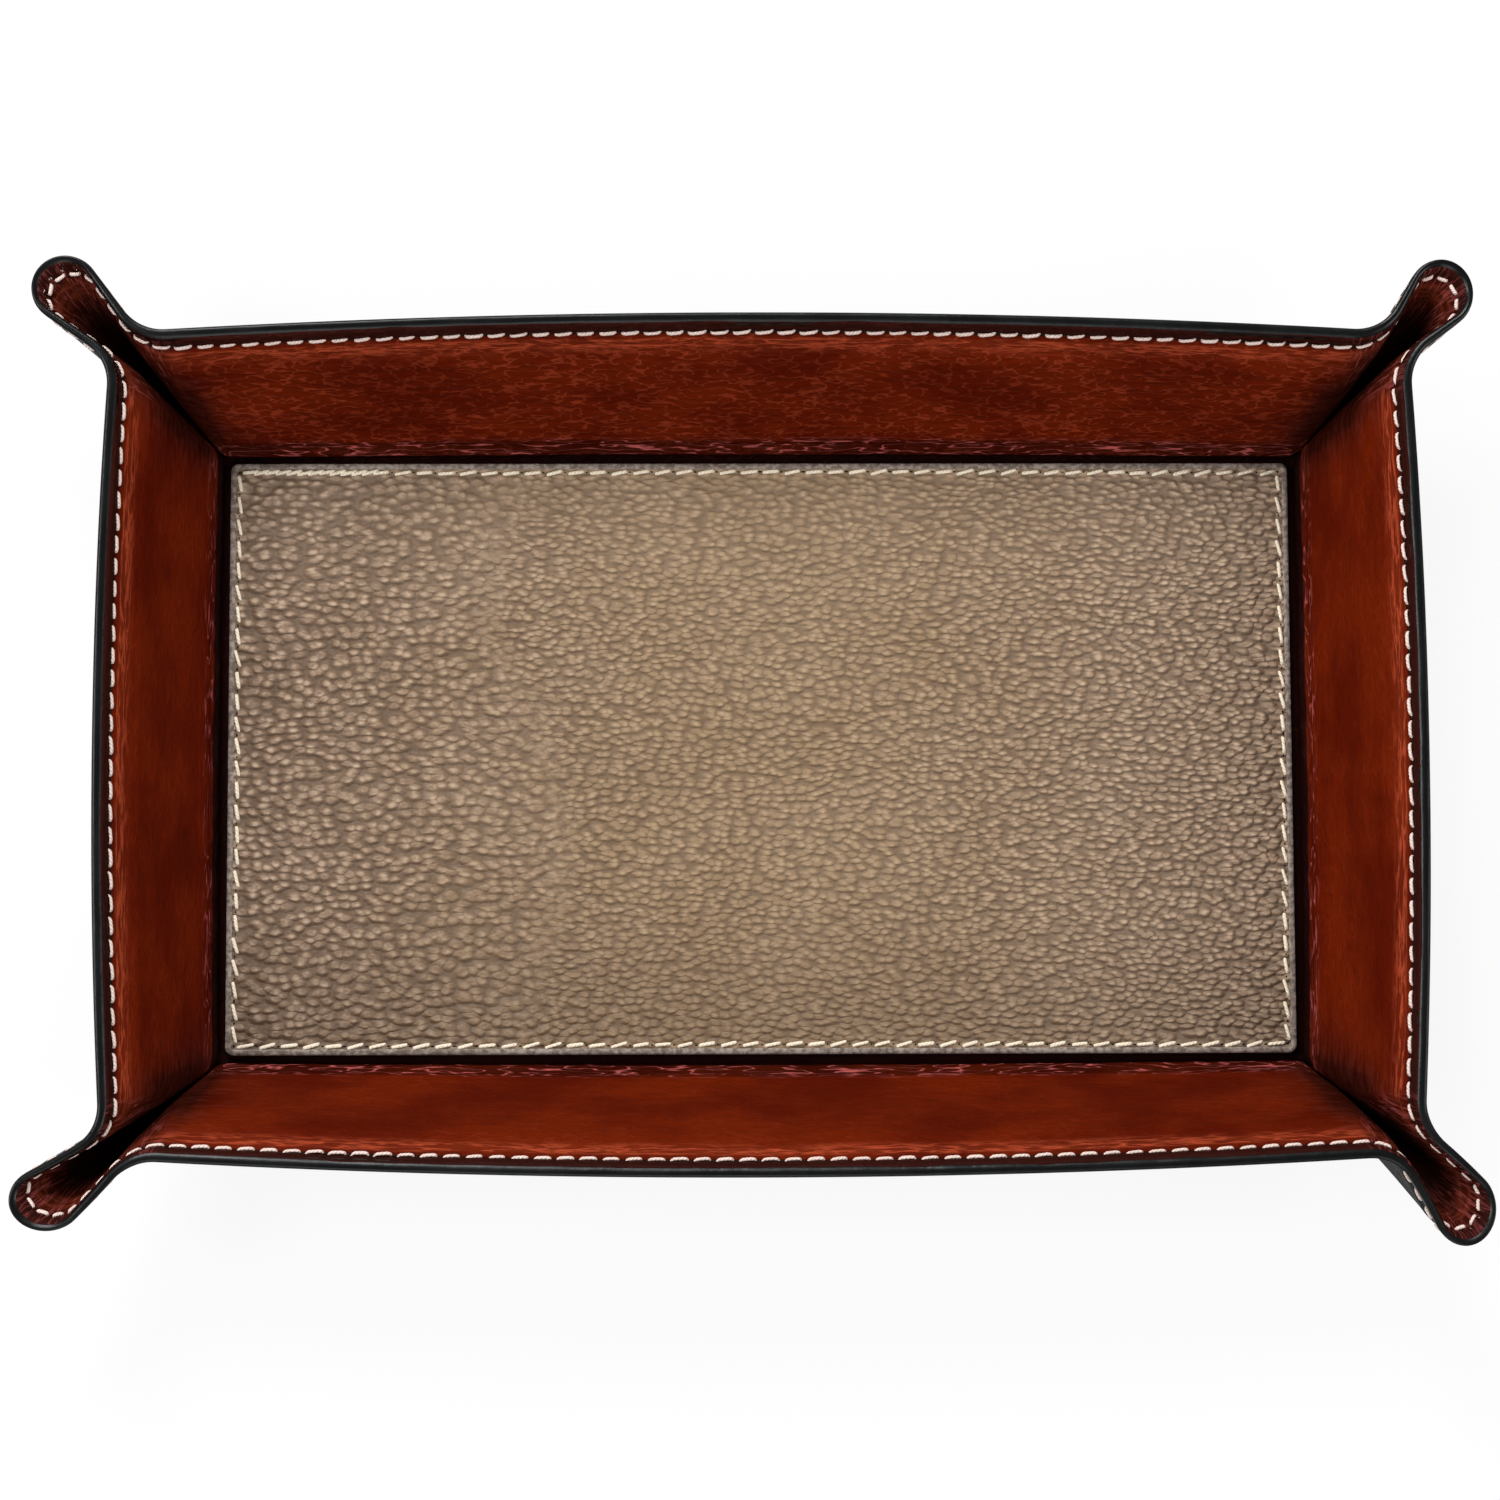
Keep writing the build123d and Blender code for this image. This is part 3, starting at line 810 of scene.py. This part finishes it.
def lining_relief(ring, points, up):
    """How far the lining stands out of its plain shape, in millimetres.

    A groove under the stitches, a lumpy ridge where the boards end under it, a burnished lip, a
    creased fold round the floor, gentle swells, and pleats that run down each ear.
    """
    groove_depth, groove_width = 0.36, 0.7
    ridge_height, ridge_lumps, ridge_drop, ridge_width = 0.3, 0.24, 2.2, 1.1
    lip_height, lip_rise, lip_width = 0.12, 1.5, 0.7
    fold_height, crumple_height, fold_width = 0.3, 0.34, 0.8
    pit_depth, pit_wander, pit_width = 0.34, 0.4, 0.6
    swell_height, swell_full = 0.22, 8.0
    ridge_lump_size, swell_sizes, crumple_sizes = 5.0, (26.0, 26.0, 9.0), (3.2, 3.2, 1.6)
    below_stitch = (stitch_heights(ring) - points[..., 2]) * slant
    up = up[:, None]
    ear = ring.by_piece(0.0, ring.share, 1.0, 1.0)
    lumps = layered_noise(points / ridge_lump_size, 11, 3)
    groove = -groove_depth * bump_at(below_stitch, groove_width)
    ridge = (ridge_height + ridge_lumps * lumps) * bump_at(below_stitch - ridge_drop, ridge_width)
    lip = lip_height * bump_at(below_stitch + lip_rise, lip_width)
    swell = swell_height * layered_noise(points / swell_sizes, 5, 2) * smooth_step(0.0, swell_full, up)
    crumple = layered_noise(points / crumple_sizes, 23, 3)
    crease = (crumple_height * crumple + fold_height) * bump_at(up - fold_ridge, fold_width)
    crease -= pit_depth * bump_at(up - fold_groove - pit_wander * crumple, pit_width)
    return groove + ridge * (1 - 0.5 * ear) + lip + swell + crease * (1 - ear) + pleats(ring, points)


def pleats(ring, points):
    """Pleats down an ear: ridges across the diagonal that grow towards the rim and the tip."""
    pleat_height, pleat_pitch, wander = 0.14, 1.7, 2.2
    wobble_length, wobble_width = 7.0, 2.5
    out, across = ring.from_foot(points)
    place = np.stack([out / wobble_length, across / wobble_width, ring.ear + 0 * out], axis=-1)
    wobble = layered_noise(place, 31, 2)
    ridges = np.sin(across * 2 * math.pi / pleat_pitch + wander * wobble)
    grow = smooth_step(0.45, 0.9, points[..., 2] / rim_height)
    on_lobe = ring.by_piece(0.0, 0.0, 0.3 * ring.share, 0.3 + 0.7 * ring.share)
    return pleat_height * ridges * grow * on_lobe * (0.7 + 0.5 * wobble)


def fold_shade(ring, points):
    """How much painted shade the lining gets in its folds: all of an ear's keel and the lower half
    of its neck, fading over the walls beside it."""
    fade_length = 3.5
    share = points[..., 2] / rim_height
    along = np.where(ring.long_side, foot_half_length, foot_half_width) * (1 - ring.share)
    beside = ring.by_piece(np.exp(-along / fade_length), 1.0, 1.0, 1.0)
    on_wall = 0.8 * beside * (1 - smooth_step(0.6, 0.97, share)) * smooth_step(0.1, 0.3, share)
    narrow = np.where(ring.piece == 3, 0.45, 0.95)
    lit = smooth_step(0.72, 1.02, share) * (1 - 0.35 * narrow)
    in_ear = ring.by_piece(0.0, ring.share, 1.0, 1.0) * (1 - lit)
    return np.clip(np.maximum(on_wall, in_ear * (0.6 + 0.37 * smooth_step(0.1, 0.4, share))), 0, 1)


def leather_map(ring, face, up, thickness, back):
    """The leather's map: along its stitch line, and up from that line."""
    lift_start = 20.0
    heights = face[:, 0, 2]
    along = lengths_round(face)[np.argmin(np.abs(heights - rim_stitch_height))]
    lift = (stitch_heights(ring) - rim_stitch_height) * slant
    lift = np.concatenate([lift, lift[:1]]) * smooth_step(lift_start, rim_stitch_height, heights)[:, None]
    face_up = up[:, None] - np.interp(rim_stitch_height, heights, up) - lift
    back_up = face_up[-1:] + thickness + row_lengths(ring, back)[:, None]
    up = np.concatenate([face_up, back_up])
    return np.broadcast_to(along, up.shape), up


def back_of(ring, base, depth, radius, padded):
    """The plain back of a leather, from the rim down."""
    return tub_points(ring, *tub_rows(base, depth, radius, padded, 12))[::-1]


def make_lining(ring):
    """The lining: its face from the floor up, over the top, and its back down again."""
    face = tub_points(ring, *tub_rows(floor_top, two_leathers, lining_fold_radius, True, 70, rim_skive))
    up = row_lengths(ring, face)
    relief = lining_relief(ring, face, up)
    relief[-1] = 0
    shade = fold_shade(ring, face)
    shade[0] = 0
    face = face - surface_normals(face) * relief[..., None]
    back = back_of(ring, lining_base, lining_back, lining_fold_radius + lining_leather, True)
    shade = np.concatenate([shade, np.zeros(back.shape[:2])])
    skin = leather_map(ring, face, up, lining_leather, back)
    piece = closed_ring("lining_skin", np.concatenate([face, back]), skin, shade, turn=True)
    finish_piece(piece, lining_finish, "tray", "lining_leather", "lining")


def make_shell(ring):
    """The outer leather: its face from the underside up, and its back down again. Its face has
    the groove of the stitches, a soft ridge where the boards end, and gentle swells."""
    groove_depth, groove_width = 0.25, 0.8
    ridge_height, ridge_drop, ridge_width = 0.12, 2.4, 1.2
    swell_height, swell_size, swell_start, swell_full = 0.2, 22.0, 2.0, 10.0
    face = tub_points(ring, *tub_rows(0.0, 0.0, fold_radius, False, 40))
    up = row_lengths(ring, face)
    below_stitch = (rim_stitch_height - face[..., 2]) * slant
    relief = ridge_height * bump_at(below_stitch - ridge_drop, ridge_width)
    relief -= groove_depth * bump_at(below_stitch, groove_width)
    swell = swell_height * layered_noise(face / swell_size, 41, 2)
    relief += swell * smooth_step(swell_start, swell_full, up[:, None])
    relief[[0, -1]] = 0
    face = face + surface_normals(face) * relief[..., None]
    back = back_of(ring, shell_leather, shell_leather, fold_radius - shell_leather, False)
    skin = leather_map(ring, face, up, shell_leather, back)
    piece = closed_ring("shell_skin", np.concatenate([face, back]), skin)
    finish_piece(piece, shell_finish, "tray", "shell_leather", "outer_shell")


def make_rim_paint(ring):
    """A rounded bead over both cut edges: a flat-bottomed D profile carried round the rim, its
    top a sine to the power of 0.7."""
    overlap, base_half_width = 0.05, 0.6
    bead_rise, bead_sink, bead_power = 2.1, 1.1, 0.7
    wave_height, wave_length, wave_drop = 0.12, 9.0, 0.1
    turns = np.linspace(0, math.pi, 11)
    middle = rim_leathers / 2
    arc = middle - (middle + overlap) * np.cos(turns)
    depth = np.concatenate([arc, [middle + base_half_width, middle - base_half_width]])
    rise = np.concatenate([rim_paint * bead_rise * np.sin(turns) ** bead_power, [0.0, 0.0]])
    height = np.minimum(leather_top - rim_paint * bead_sink + rise, rim_height)
    points = tub_points(ring, height, wall_shift(height, depth), depth, 0 * depth)
    wave = wave_height * layered_noise(points / wave_length, 51, 2) - wave_drop
    points[..., 2] += wave * (rise > 0)[:, None]
    piece = closed_ring("rim_bead", points, wrap=True)
    finish_piece(piece, rim_paint_finish, "tray", "edge_paint", "rim_edge_paint")


# Stitches

def stitch_mesh(name, middle, run, normal, length, wide, slope, sink, seed):
    """Stitches as one mesh: round bars that rise out of one hole and dive into the next.

    middle, run and normal are one row per stitch. A point of a bar lies at x along its run,
    bent over by a fifth power of x, with an elliptic section that narrows at both ends.
    """
    rng = np.random.RandomState(seed)
    count, rings, sides, plies = len(middle), 11, 9, 3.0

    def varied(spread):
        """A factor about 1 for each stitch."""
        return 1 + spread * rng.uniform(-1, 1, (count, 1, 1))

    x = np.linspace(-1, 1, rings)[None, :, None]
    bend = np.abs(x) ** 5
    turn = np.linspace(0, 2 * math.pi, sides, endpoint=False)[None, None, :]
    length = np.broadcast_to(length, (count,))[:, None, None]
    radius = wide / 2 * varied(0.1) * (1 - 0.35 * bend)
    angle = slope * varied(0.6)
    rise = wide * 0.42 * varied(0.2) - sink - wide * 0.95 * bend
    along = x * length / 2 * varied(0.05) + 0 * turn
    side = along * np.tan(angle) + radius * np.cos(turn)
    up = rise + radius * 0.8 * np.sin(turn)
    points = middle[:, None, None]
    for amount, axis in ((along, run), (side, np.cross(normal, run)), (up, normal)):
        points = points + amount[..., None] * axis[:, None, None]

    numbers = np.arange(rings * sides).reshape(rings, sides)
    offsets = (np.arange(count) * rings * sides)[:, None, None]
    quads = (ring_faces(numbers)[None] + offsets).reshape(-1, 4)
    start_caps = numbers[0, ::-1] + offsets[:, 0]
    end_caps = numbers[-1] + offsets[:, 0]
    wind = np.arange(sides + 1) / sides
    row = np.arange(rings)[:, None] / (rings - 1) * plies
    skin = np.stack([face_corners(row + 0 * wind), face_corners(wind + 0 * row)], axis=-1)
    corner_map = np.concatenate([np.tile(skin.reshape(-1, 2), (count, 1)), np.zeros((2 * count * sides, 2))])
    faces = quads.tolist() + start_caps.tolist() + end_caps.tolist()
    return mesh_object(name, points, faces, corner_map)


def hole_shade_mesh(name, middle, run, normal, pitch, wide):
    """The painted shade of the needle holes between the stitches: dark low lenses, a ring of points
    round a top and a bottom one, one at the end of each stitch."""
    sides, long_share, wide_share = 10, 0.85, 0.62
    lens_top, lens_bottom = 0.12, 0.3
    turn = np.linspace(0, 2 * math.pi, sides, endpoint=False)[None, :, None]
    centre = middle + run * pitch[:, None] / 2
    rim = centre[:, None] + long_share * wide * np.cos(turn) * run[:, None]
    rim = rim + wide_share * wide * np.sin(turn) * np.cross(normal, run)[:, None]
    ends = np.stack([centre + normal * lens_top, centre - normal * lens_bottom], axis=1)
    here = np.arange(sides)
    following = (here + 1) % sides
    upper = np.column_stack([here, following, np.full(sides, sides)])
    lower = np.column_stack([following, here, np.full(sides, sides + 1)])
    offsets = np.arange(len(middle))[:, None, None] * (sides + 2)
    faces = (np.concatenate([upper, lower])[None] + offsets).reshape(-1, 3)
    return mesh_object(name, np.concatenate([rim, ends], axis=1), faces.tolist())


def along_ring(points, density, count):
    """count places along a closed row, closer together where the density is higher: the middle,
    run and pitch of each, from its stitch's middle and its two ends."""
    stitch_share = 0.7
    closed = np.concatenate([points, points[:1]])
    steps = np.linalg.norm(np.diff(closed, axis=0), axis=-1)
    length = np.concatenate([[0], np.cumsum(steps * density)])

    def at(distance):
        """The points at distances along the row."""
        distance = distance % length[-1]
        return np.stack([np.interp(distance, length, closed[:, k]) for k in range(3)], axis=-1)

    middle = (np.arange(count) + 0.5) / count * length[-1]
    half = stitch_share / 2 * length[-1] / count
    start, end = at(middle - half), at(middle + half)
    reach = np.linalg.norm(end - start, axis=-1)
    return at(middle) * 0.5 + (start + end) * 0.25, (end - start) / reach[:, None], reach / stitch_share


def rim_stitch_row(ring, depth, outward):
    """Middles, runs, normals and pitches of the stitches on one face of the rim."""
    lobe_density, neck_density, feeler = 0.45, 0.1, 0.5
    heights = stitch_heights(ring) + np.array([-feeler, 0.0, feeler])[:, None]
    rows = tub_points(ring, heights, wall_shift(heights, depth), depth + 0 * heights, 0 * heights)
    density = ring.by_piece(1.0, 1.0, 1 + neck_density, 1 + lobe_density)
    steps = np.linalg.norm(np.roll(rows[1], -1, axis=0) - rows[1], axis=-1)
    count = int(round((steps * density).sum() / stitch_pitch))
    middle, run, pitch = along_ring(rows[1], density, count)
    rise = along_ring(rows[2], density, count)[0] - along_ring(rows[0], density, count)[0]
    normal = np.cross(run, rise)
    normal /= np.linalg.norm(normal, axis=-1, keepdims=True)
    return middle, run, normal if outward else -normal, pitch


def make_rim_stitches(ring):
    """The rim's stitches: an inner row that lies in the lining's groove, with the painted shade of
    its needle holes, and an outer row on the shell."""
    groove_sink, hole_width = 0.3, 0.68
    middle, run, normal, pitch = rim_stitch_row(ring, rim_leathers, False)
    sunk = middle - normal * groove_sink
    inside = stitch_mesh("rim_stitches_inside", sunk, run, normal, pitch * 0.86, thread, 0.12, -0.02, 1)
    finish_piece(inside, rim_thread_finish, "tray", "rim_thread", "rim_stitches")
    holes = hole_shade_mesh("rim_needle_holes", sunk, run, normal, pitch, hole_width)
    finish_piece(holes, hole_shade_finish, "tray", "rim_thread", "rim_stitches")
    middle, run, normal, pitch = rim_stitch_row(ring, 0.0, True)
    outside = stitch_mesh("rim_stitches_outside", middle, run, normal, pitch * 0.84, thread, -0.1, 0.4, 2)
    finish_piece(outside, rim_thread_finish, "tray", "rim_thread", "rim_stitches")


# Pad

def pad_edge_distance(x, y):
    """Distance inward from the pad's rounded outline, negative outside."""
    qx = np.abs(x) - (pad_half_length - pad_corner_radius)
    qy = np.abs(y) - (pad_half_width - pad_corner_radius)
    outside = np.hypot(np.maximum(qx, 0), np.maximum(qy, 0))
    return pad_corner_radius - outside - np.minimum(np.maximum(qx, qy), 0)


def pad_surface(x, y):
    """Height of the pad's top: a rounded edge, a strip pressed down outside the stitches, the
    groove they lie in, a soft rise inside it, and shallow creases that run along X."""
    round_edge, edge_share = 0.9, 0.62
    groove_depth, groove_width = 0.28, 0.6
    rise_height, rise_end = 0.3, 9.0
    crease_depth, crease_start, crease_full, crease_sizes = 0.16, 2.4, 5.0, (6.5, 2.6, 1.0)
    swell_height, swell_start, swell_full, swell_sizes = 0.07, 2.0, 8.0, (24.0, 14.0, 1.0)
    distance = np.maximum(pad_edge_distance(x, y), 0)
    short = np.maximum(round_edge - distance, 0)
    edge = round_edge - np.sqrt(np.maximum(round_edge**2 - short**2, 0))
    groove = groove_depth * bump_at(distance - pad_stitch_inset, groove_width)
    rise = rise_height * (smooth_step(pad_stitch_inset, rise_end, distance) - 1)
    flat = np.stack([x, y, 0 * x], axis=-1)
    creases = np.clip(0.45 - np.abs(layered_noise(flat / crease_sizes, 61, 2)), 0, 1)
    creases = crease_depth * creases * smooth_step(crease_start, crease_full, distance)
    swells = swell_height * layered_noise(flat / swell_sizes, 71, 2)
    swells = swells * smooth_step(swell_start, swell_full, distance)
    return pad_top - edge_share * edge - groove + rise - creases + swells


def make_pad_leather():
    """The pad's top: a grid over its outline, closer together at the edges by a sine, squeezed
    into the round corners, with a skirt and a flat bottom."""
    columns, rows, inset, edge_share = 250, 140, 0.12, 0.12

    def spread(count, half):
        """Places from one edge to the other."""
        t = np.linspace(-1, 1, count)
        return (np.sin(t * math.pi / 2) * edge_share + t * (1 - edge_share)) * (half - inset)

    x, y = np.meshgrid(spread(columns, pad_half_length), spread(rows, pad_half_width), indexing="ij")
    corner_x = pad_half_length - pad_corner_radius
    corner_y = pad_half_width - pad_corner_radius
    qx, qy = np.maximum(np.abs(x) - corner_x, 0), np.maximum(np.abs(y) - corner_y, 0)
    reach = np.hypot(qx, qy)
    limit = pad_corner_radius - inset
    pull = np.where(reach > limit, limit / np.maximum(reach, 1e-6), 1.0)
    in_corner = (qx > 0) & (qy > 0)
    x = np.where(in_corner, np.sign(x) * (corner_x + qx * pull), x)
    y = np.where(in_corner, np.sign(y) * (corner_y + qy * pull), y)
    top = np.stack([x, y, pad_surface(x, y)], axis=-1).reshape(-1, 3)
    number = np.arange(columns * rows).reshape(columns, rows)
    edge = np.concatenate([number[:-1, 0], number[-1, :-1], number[:0:-1, -1], number[0, :0:-1]])
    skirt = top[edge]
    skirt[:, 2] = pad_leather_base
    lower = columns * rows + np.arange(len(edge))
    sides = np.stack([edge, lower, np.roll(lower, -1), np.roll(edge, -1)], axis=-1)
    faces = face_corners(number.T).tolist() + sides.tolist() + [lower[::-1].tolist()]
    piece = mesh_object("pad_skin", np.concatenate([top, skirt]), faces)
    finish_piece(piece, pad_finish, "pad", "pad_leather", "pad_leather")


def pad_outline(inset):
    """A rounded rectangle inside the pad's edge, counterclockwise: arcs and the runs between."""
    steps, side_steps, least_radius = 7, 60, 0.2
    radius = max(pad_corner_radius - inset, least_radius)
    centre = np.array([pad_half_length, pad_half_width]) - inset - radius
    arcs = []
    for signs, start in (((1, -1), -90), ((1, 1), 0), ((-1, 1), 90), ((-1, -1), 180)):
        turn = np.radians(start + np.linspace(0, 90, steps))
        arcs.append(centre * signs + radius * np.stack([np.cos(turn), np.sin(turn)], axis=-1))
    share = np.linspace(0, 1, side_steps, endpoint=False)[1:, None]
    whole = []
    for arc, following in zip(arcs, arcs[1:] + arcs[:1]):
        whole += [arc, between(arc[-1], following[0], share)]
    return np.concatenate(whole)


def make_pad_paint():
    """The painted edge: a thin skin over the rounded border and down the side, closed behind.
    Its rows are insets, each with a height over the leather's top or a level of its own."""
    film, under, inner = 0.05, 0.5, 1.25
    wave_height, wave_length = 0.03, 6.0
    on_top = [(inner, -film)] + [(inset, film) for inset in (1.0, 0.75, 0.5, 0.3, 0.15, 0.05)]
    levels = [(0.0, pad_top - 0.95), (0.0, pad_top - 2.0), (0.04, pad_base), (0.3, pad_base)]
    levels.append((0.3, pad_top - 1.6))
    behind = [(0.6, -under), (1.0, -under), (inner, -under)]

    def over_top(inset, lift):
        """A row that follows the leather's top."""
        outline = pad_outline(inset)
        return np.column_stack([outline, pad_surface(*(outline * 0.9999).T) + lift])

    def at_level(inset, level):
        """A flat row."""
        outline = pad_outline(inset)
        return np.column_stack([outline, np.full(len(outline), level)])

    rows = [over_top(*row) for row in on_top] + [at_level(*row) for row in levels]
    points = np.stack(rows + [over_top(*row) for row in behind])
    waved = slice(1, 10)
    points[waved, :, 2] += wave_height * layered_noise(points[waved] / wave_length, 81, 2)
    piece = closed_ring("pad_edge_bead", points, turn=True, wrap=True)
    finish_piece(piece, pad_paint_finish, "pad", "pad_edge_paint", "pad_edge_paint")


def make_pad_stitches():
    """Straight runs of stitches along the four sides, and a second run over the start."""
    sway, jitter, over_sway = 0.12, 0.07, 0.1
    half = np.array([pad_half_length, pad_half_width]) - pad_stitch_inset
    corners = half * [(1, -1), (1, 1), (-1, 1), (-1, -1)]
    rng = np.random.RandomState(9)
    middles, runs = [], []
    for number, (start, end) in enumerate(zip(corners, np.roll(corners, -1, axis=0))):
        length = np.linalg.norm(end - start)
        count = int(round(length / stitch_pitch))
        share = (np.arange(count) + 0.5) / count
        run = (end - start) / length
        wander = sway * np.sin(share * 9.0 + number) + jitter * rng.uniform(-1, 1, count)
        middles.append(between(start, end, share[:, None]) + np.outer(wander, [-run[1], run[0]]))
        runs.append(np.tile(run, (count, 1)))
    over = stitch_pitch * np.arange(1, pad_overstitches + 1) - half[0]
    middles.append(np.column_stack([over, half[1] + over_sway * np.cos(over * 2)]))
    runs.append(np.tile([-1.0, 0.0], (pad_overstitches, 1)))
    flat, run = np.concatenate(middles), np.concatenate(runs)
    middle = np.column_stack([flat, pad_surface(*flat.T)])
    run = np.column_stack([run, np.zeros(len(run))])
    normal = np.tile([0.0, 0.0, 1.0], (len(run), 1))
    length, wide = stitch_pitch * 0.88, thread * 0.95
    piece = stitch_mesh("pad_stitch_row", middle, run, normal, length, wide, 0.19, 0.1, 3)
    finish_piece(piece, pad_thread_finish, "pad", "pad_thread", "pad_stitches")
    # Dark lenses: the painted shade in the needle holes of the first run
    first = slice(0, -pad_overstitches)
    pitch = np.full(len(run[first]), stitch_pitch)
    holes = hole_shade_mesh("pad_needle_holes", middle[first], run[first], normal[first], pitch, 0.74)
    finish_piece(holes, hole_shade_finish, "pad", "pad_thread", "pad_stitches")


def finish_node(node, finish):
    """Gives a CAD node that shows as it is its material."""
    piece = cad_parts[node]
    for slot in piece.material_slots:
        slot.material = finish.material
    if not piece.material_slots:
        piece.data.materials.append(finish.material)


# Stage

def make_floor():
    """A white floor that the camera sees nearly evenly lit, so that a soft shadow stays."""
    even_share = 0.88
    bpy.ops.mesh.primitive_plane_add(size=6.0, location=(0, 0, -0.2 * MM))
    floor = bpy.context.object
    floor.name = "floor"
    finish = Finish("white_floor")
    finish.set(Base_Color=linear(246, 246, 246), Roughness=0.9, Specular_IOR_Level=0.1)
    glow = finish.add("ShaderNodeEmission", {}, {"Color": (1.0, 1.0, 1.0, 1.0), "Strength": 1.0})
    rays = finish.add("ShaderNodeLightPath", {}, {})
    seen = rays.out("Is Camera Ray") + rays.out("Is Glossy Ray") + rays.out("Is Transmission Ray")
    shader = Field(finish, finish.shader.outputs[0])
    share = finish.math("MINIMUM", seen, 1.0) * even_share
    mixed = finish.add("ShaderNodeMixShader", {}, {0: share, 1: shader, 2: glow.out("Emission")})
    finish.feed(finish.tree.nodes["Material Output"].inputs["Surface"], mixed.out(0))
    floor.data.materials.append(finish.material)


def make_lamp(name, place, size, power):
    """A soft square lamp aimed at the tray. Lamps are placed in metres."""
    data = bpy.data.lights.new(name, "AREA")
    data.shape = "SQUARE"
    data.size = size
    data.energy = power
    lamp = bpy.data.objects.new(name, data)
    bpy.context.scene.collection.objects.link(lamp)
    lamp.location = place
    lamp.rotation_euler = (-Vector(place)).to_track_quat("-Z", "Y").to_euler()


def make_world():
    """Even, dim light from all sides."""
    world = bpy.data.worlds.new("studio")
    world.use_nodes = True
    background = world.node_tree.nodes["Background"]
    background.inputs["Color"].default_value = (1.0, 1.0, 1.0, 1.0)
    background.inputs["Strength"].default_value = 0.2
    bpy.context.scene.world = world


def make_camera():
    """The photograph's view: almost straight down, from a little in front of the tray."""
    away, aside = 0.834, -0.0135
    tilt, roll = math.radians(83.9), math.radians(-0.1)
    aim = Vector((-2.2, 1.3, 7.0)) * MM
    photo_pixels, focal_pixels, sensor = 1500.0, 4129.0, 36.0
    back = Vector((aside, -math.cos(tilt), math.sin(tilt))).normalized()
    right = (Vector((1, 0, 0)) - back * back.x).normalized()
    up = back.cross(right)
    turned_right = right * math.cos(roll) + up * math.sin(roll)
    turned_up = up * math.cos(roll) - right * math.sin(roll)
    data = bpy.data.cameras.new("camera")
    data.sensor_width = sensor
    data.lens = sensor * focal_pixels / photo_pixels
    camera = bpy.data.objects.new("camera", data)
    bpy.context.scene.collection.objects.link(camera)
    turn = Matrix((turned_right, turned_up, back)).transposed().to_4x4()
    camera.matrix_world = Matrix.Translation(aim + back * away) @ turn
    bpy.context.scene.camera = camera


make_camera()
ring = Ring()
make_lining(ring)
make_shell(ring)
make_rim_paint(ring)
make_rim_stitches(ring)
make_pad_leather()
make_pad_paint()
make_pad_stitches()

# Carried-over pieces
for side in ("back", "front", "right", "left"):
    finish_node("wall_board_" + side, board_finish)
finish_node("floor_board", board_finish)
finish_node("pad_core", board_finish)
finish_node("pad_backing", suede_finish)
for ear in ("back_right", "back_left", "front_left", "front_right"):
    finish_node("ear_tack_" + ear, tack_thread_shade_finish)

make_floor()
make_world()
make_lamp("key", (-0.35, 1.1, 1.0), 0.6, 17.5)
make_lamp("left", (-1.0, 0.1, 1.0), 0.4, 7.0)
make_lamp("right", (1.3, -0.3, 1.0), 0.7, 9.0)
make_lamp("front", (-0.2, -1.3, 1.3), 0.9, 8.5)

scene = bpy.context.scene
scene.view_settings.view_transform = "Standard"
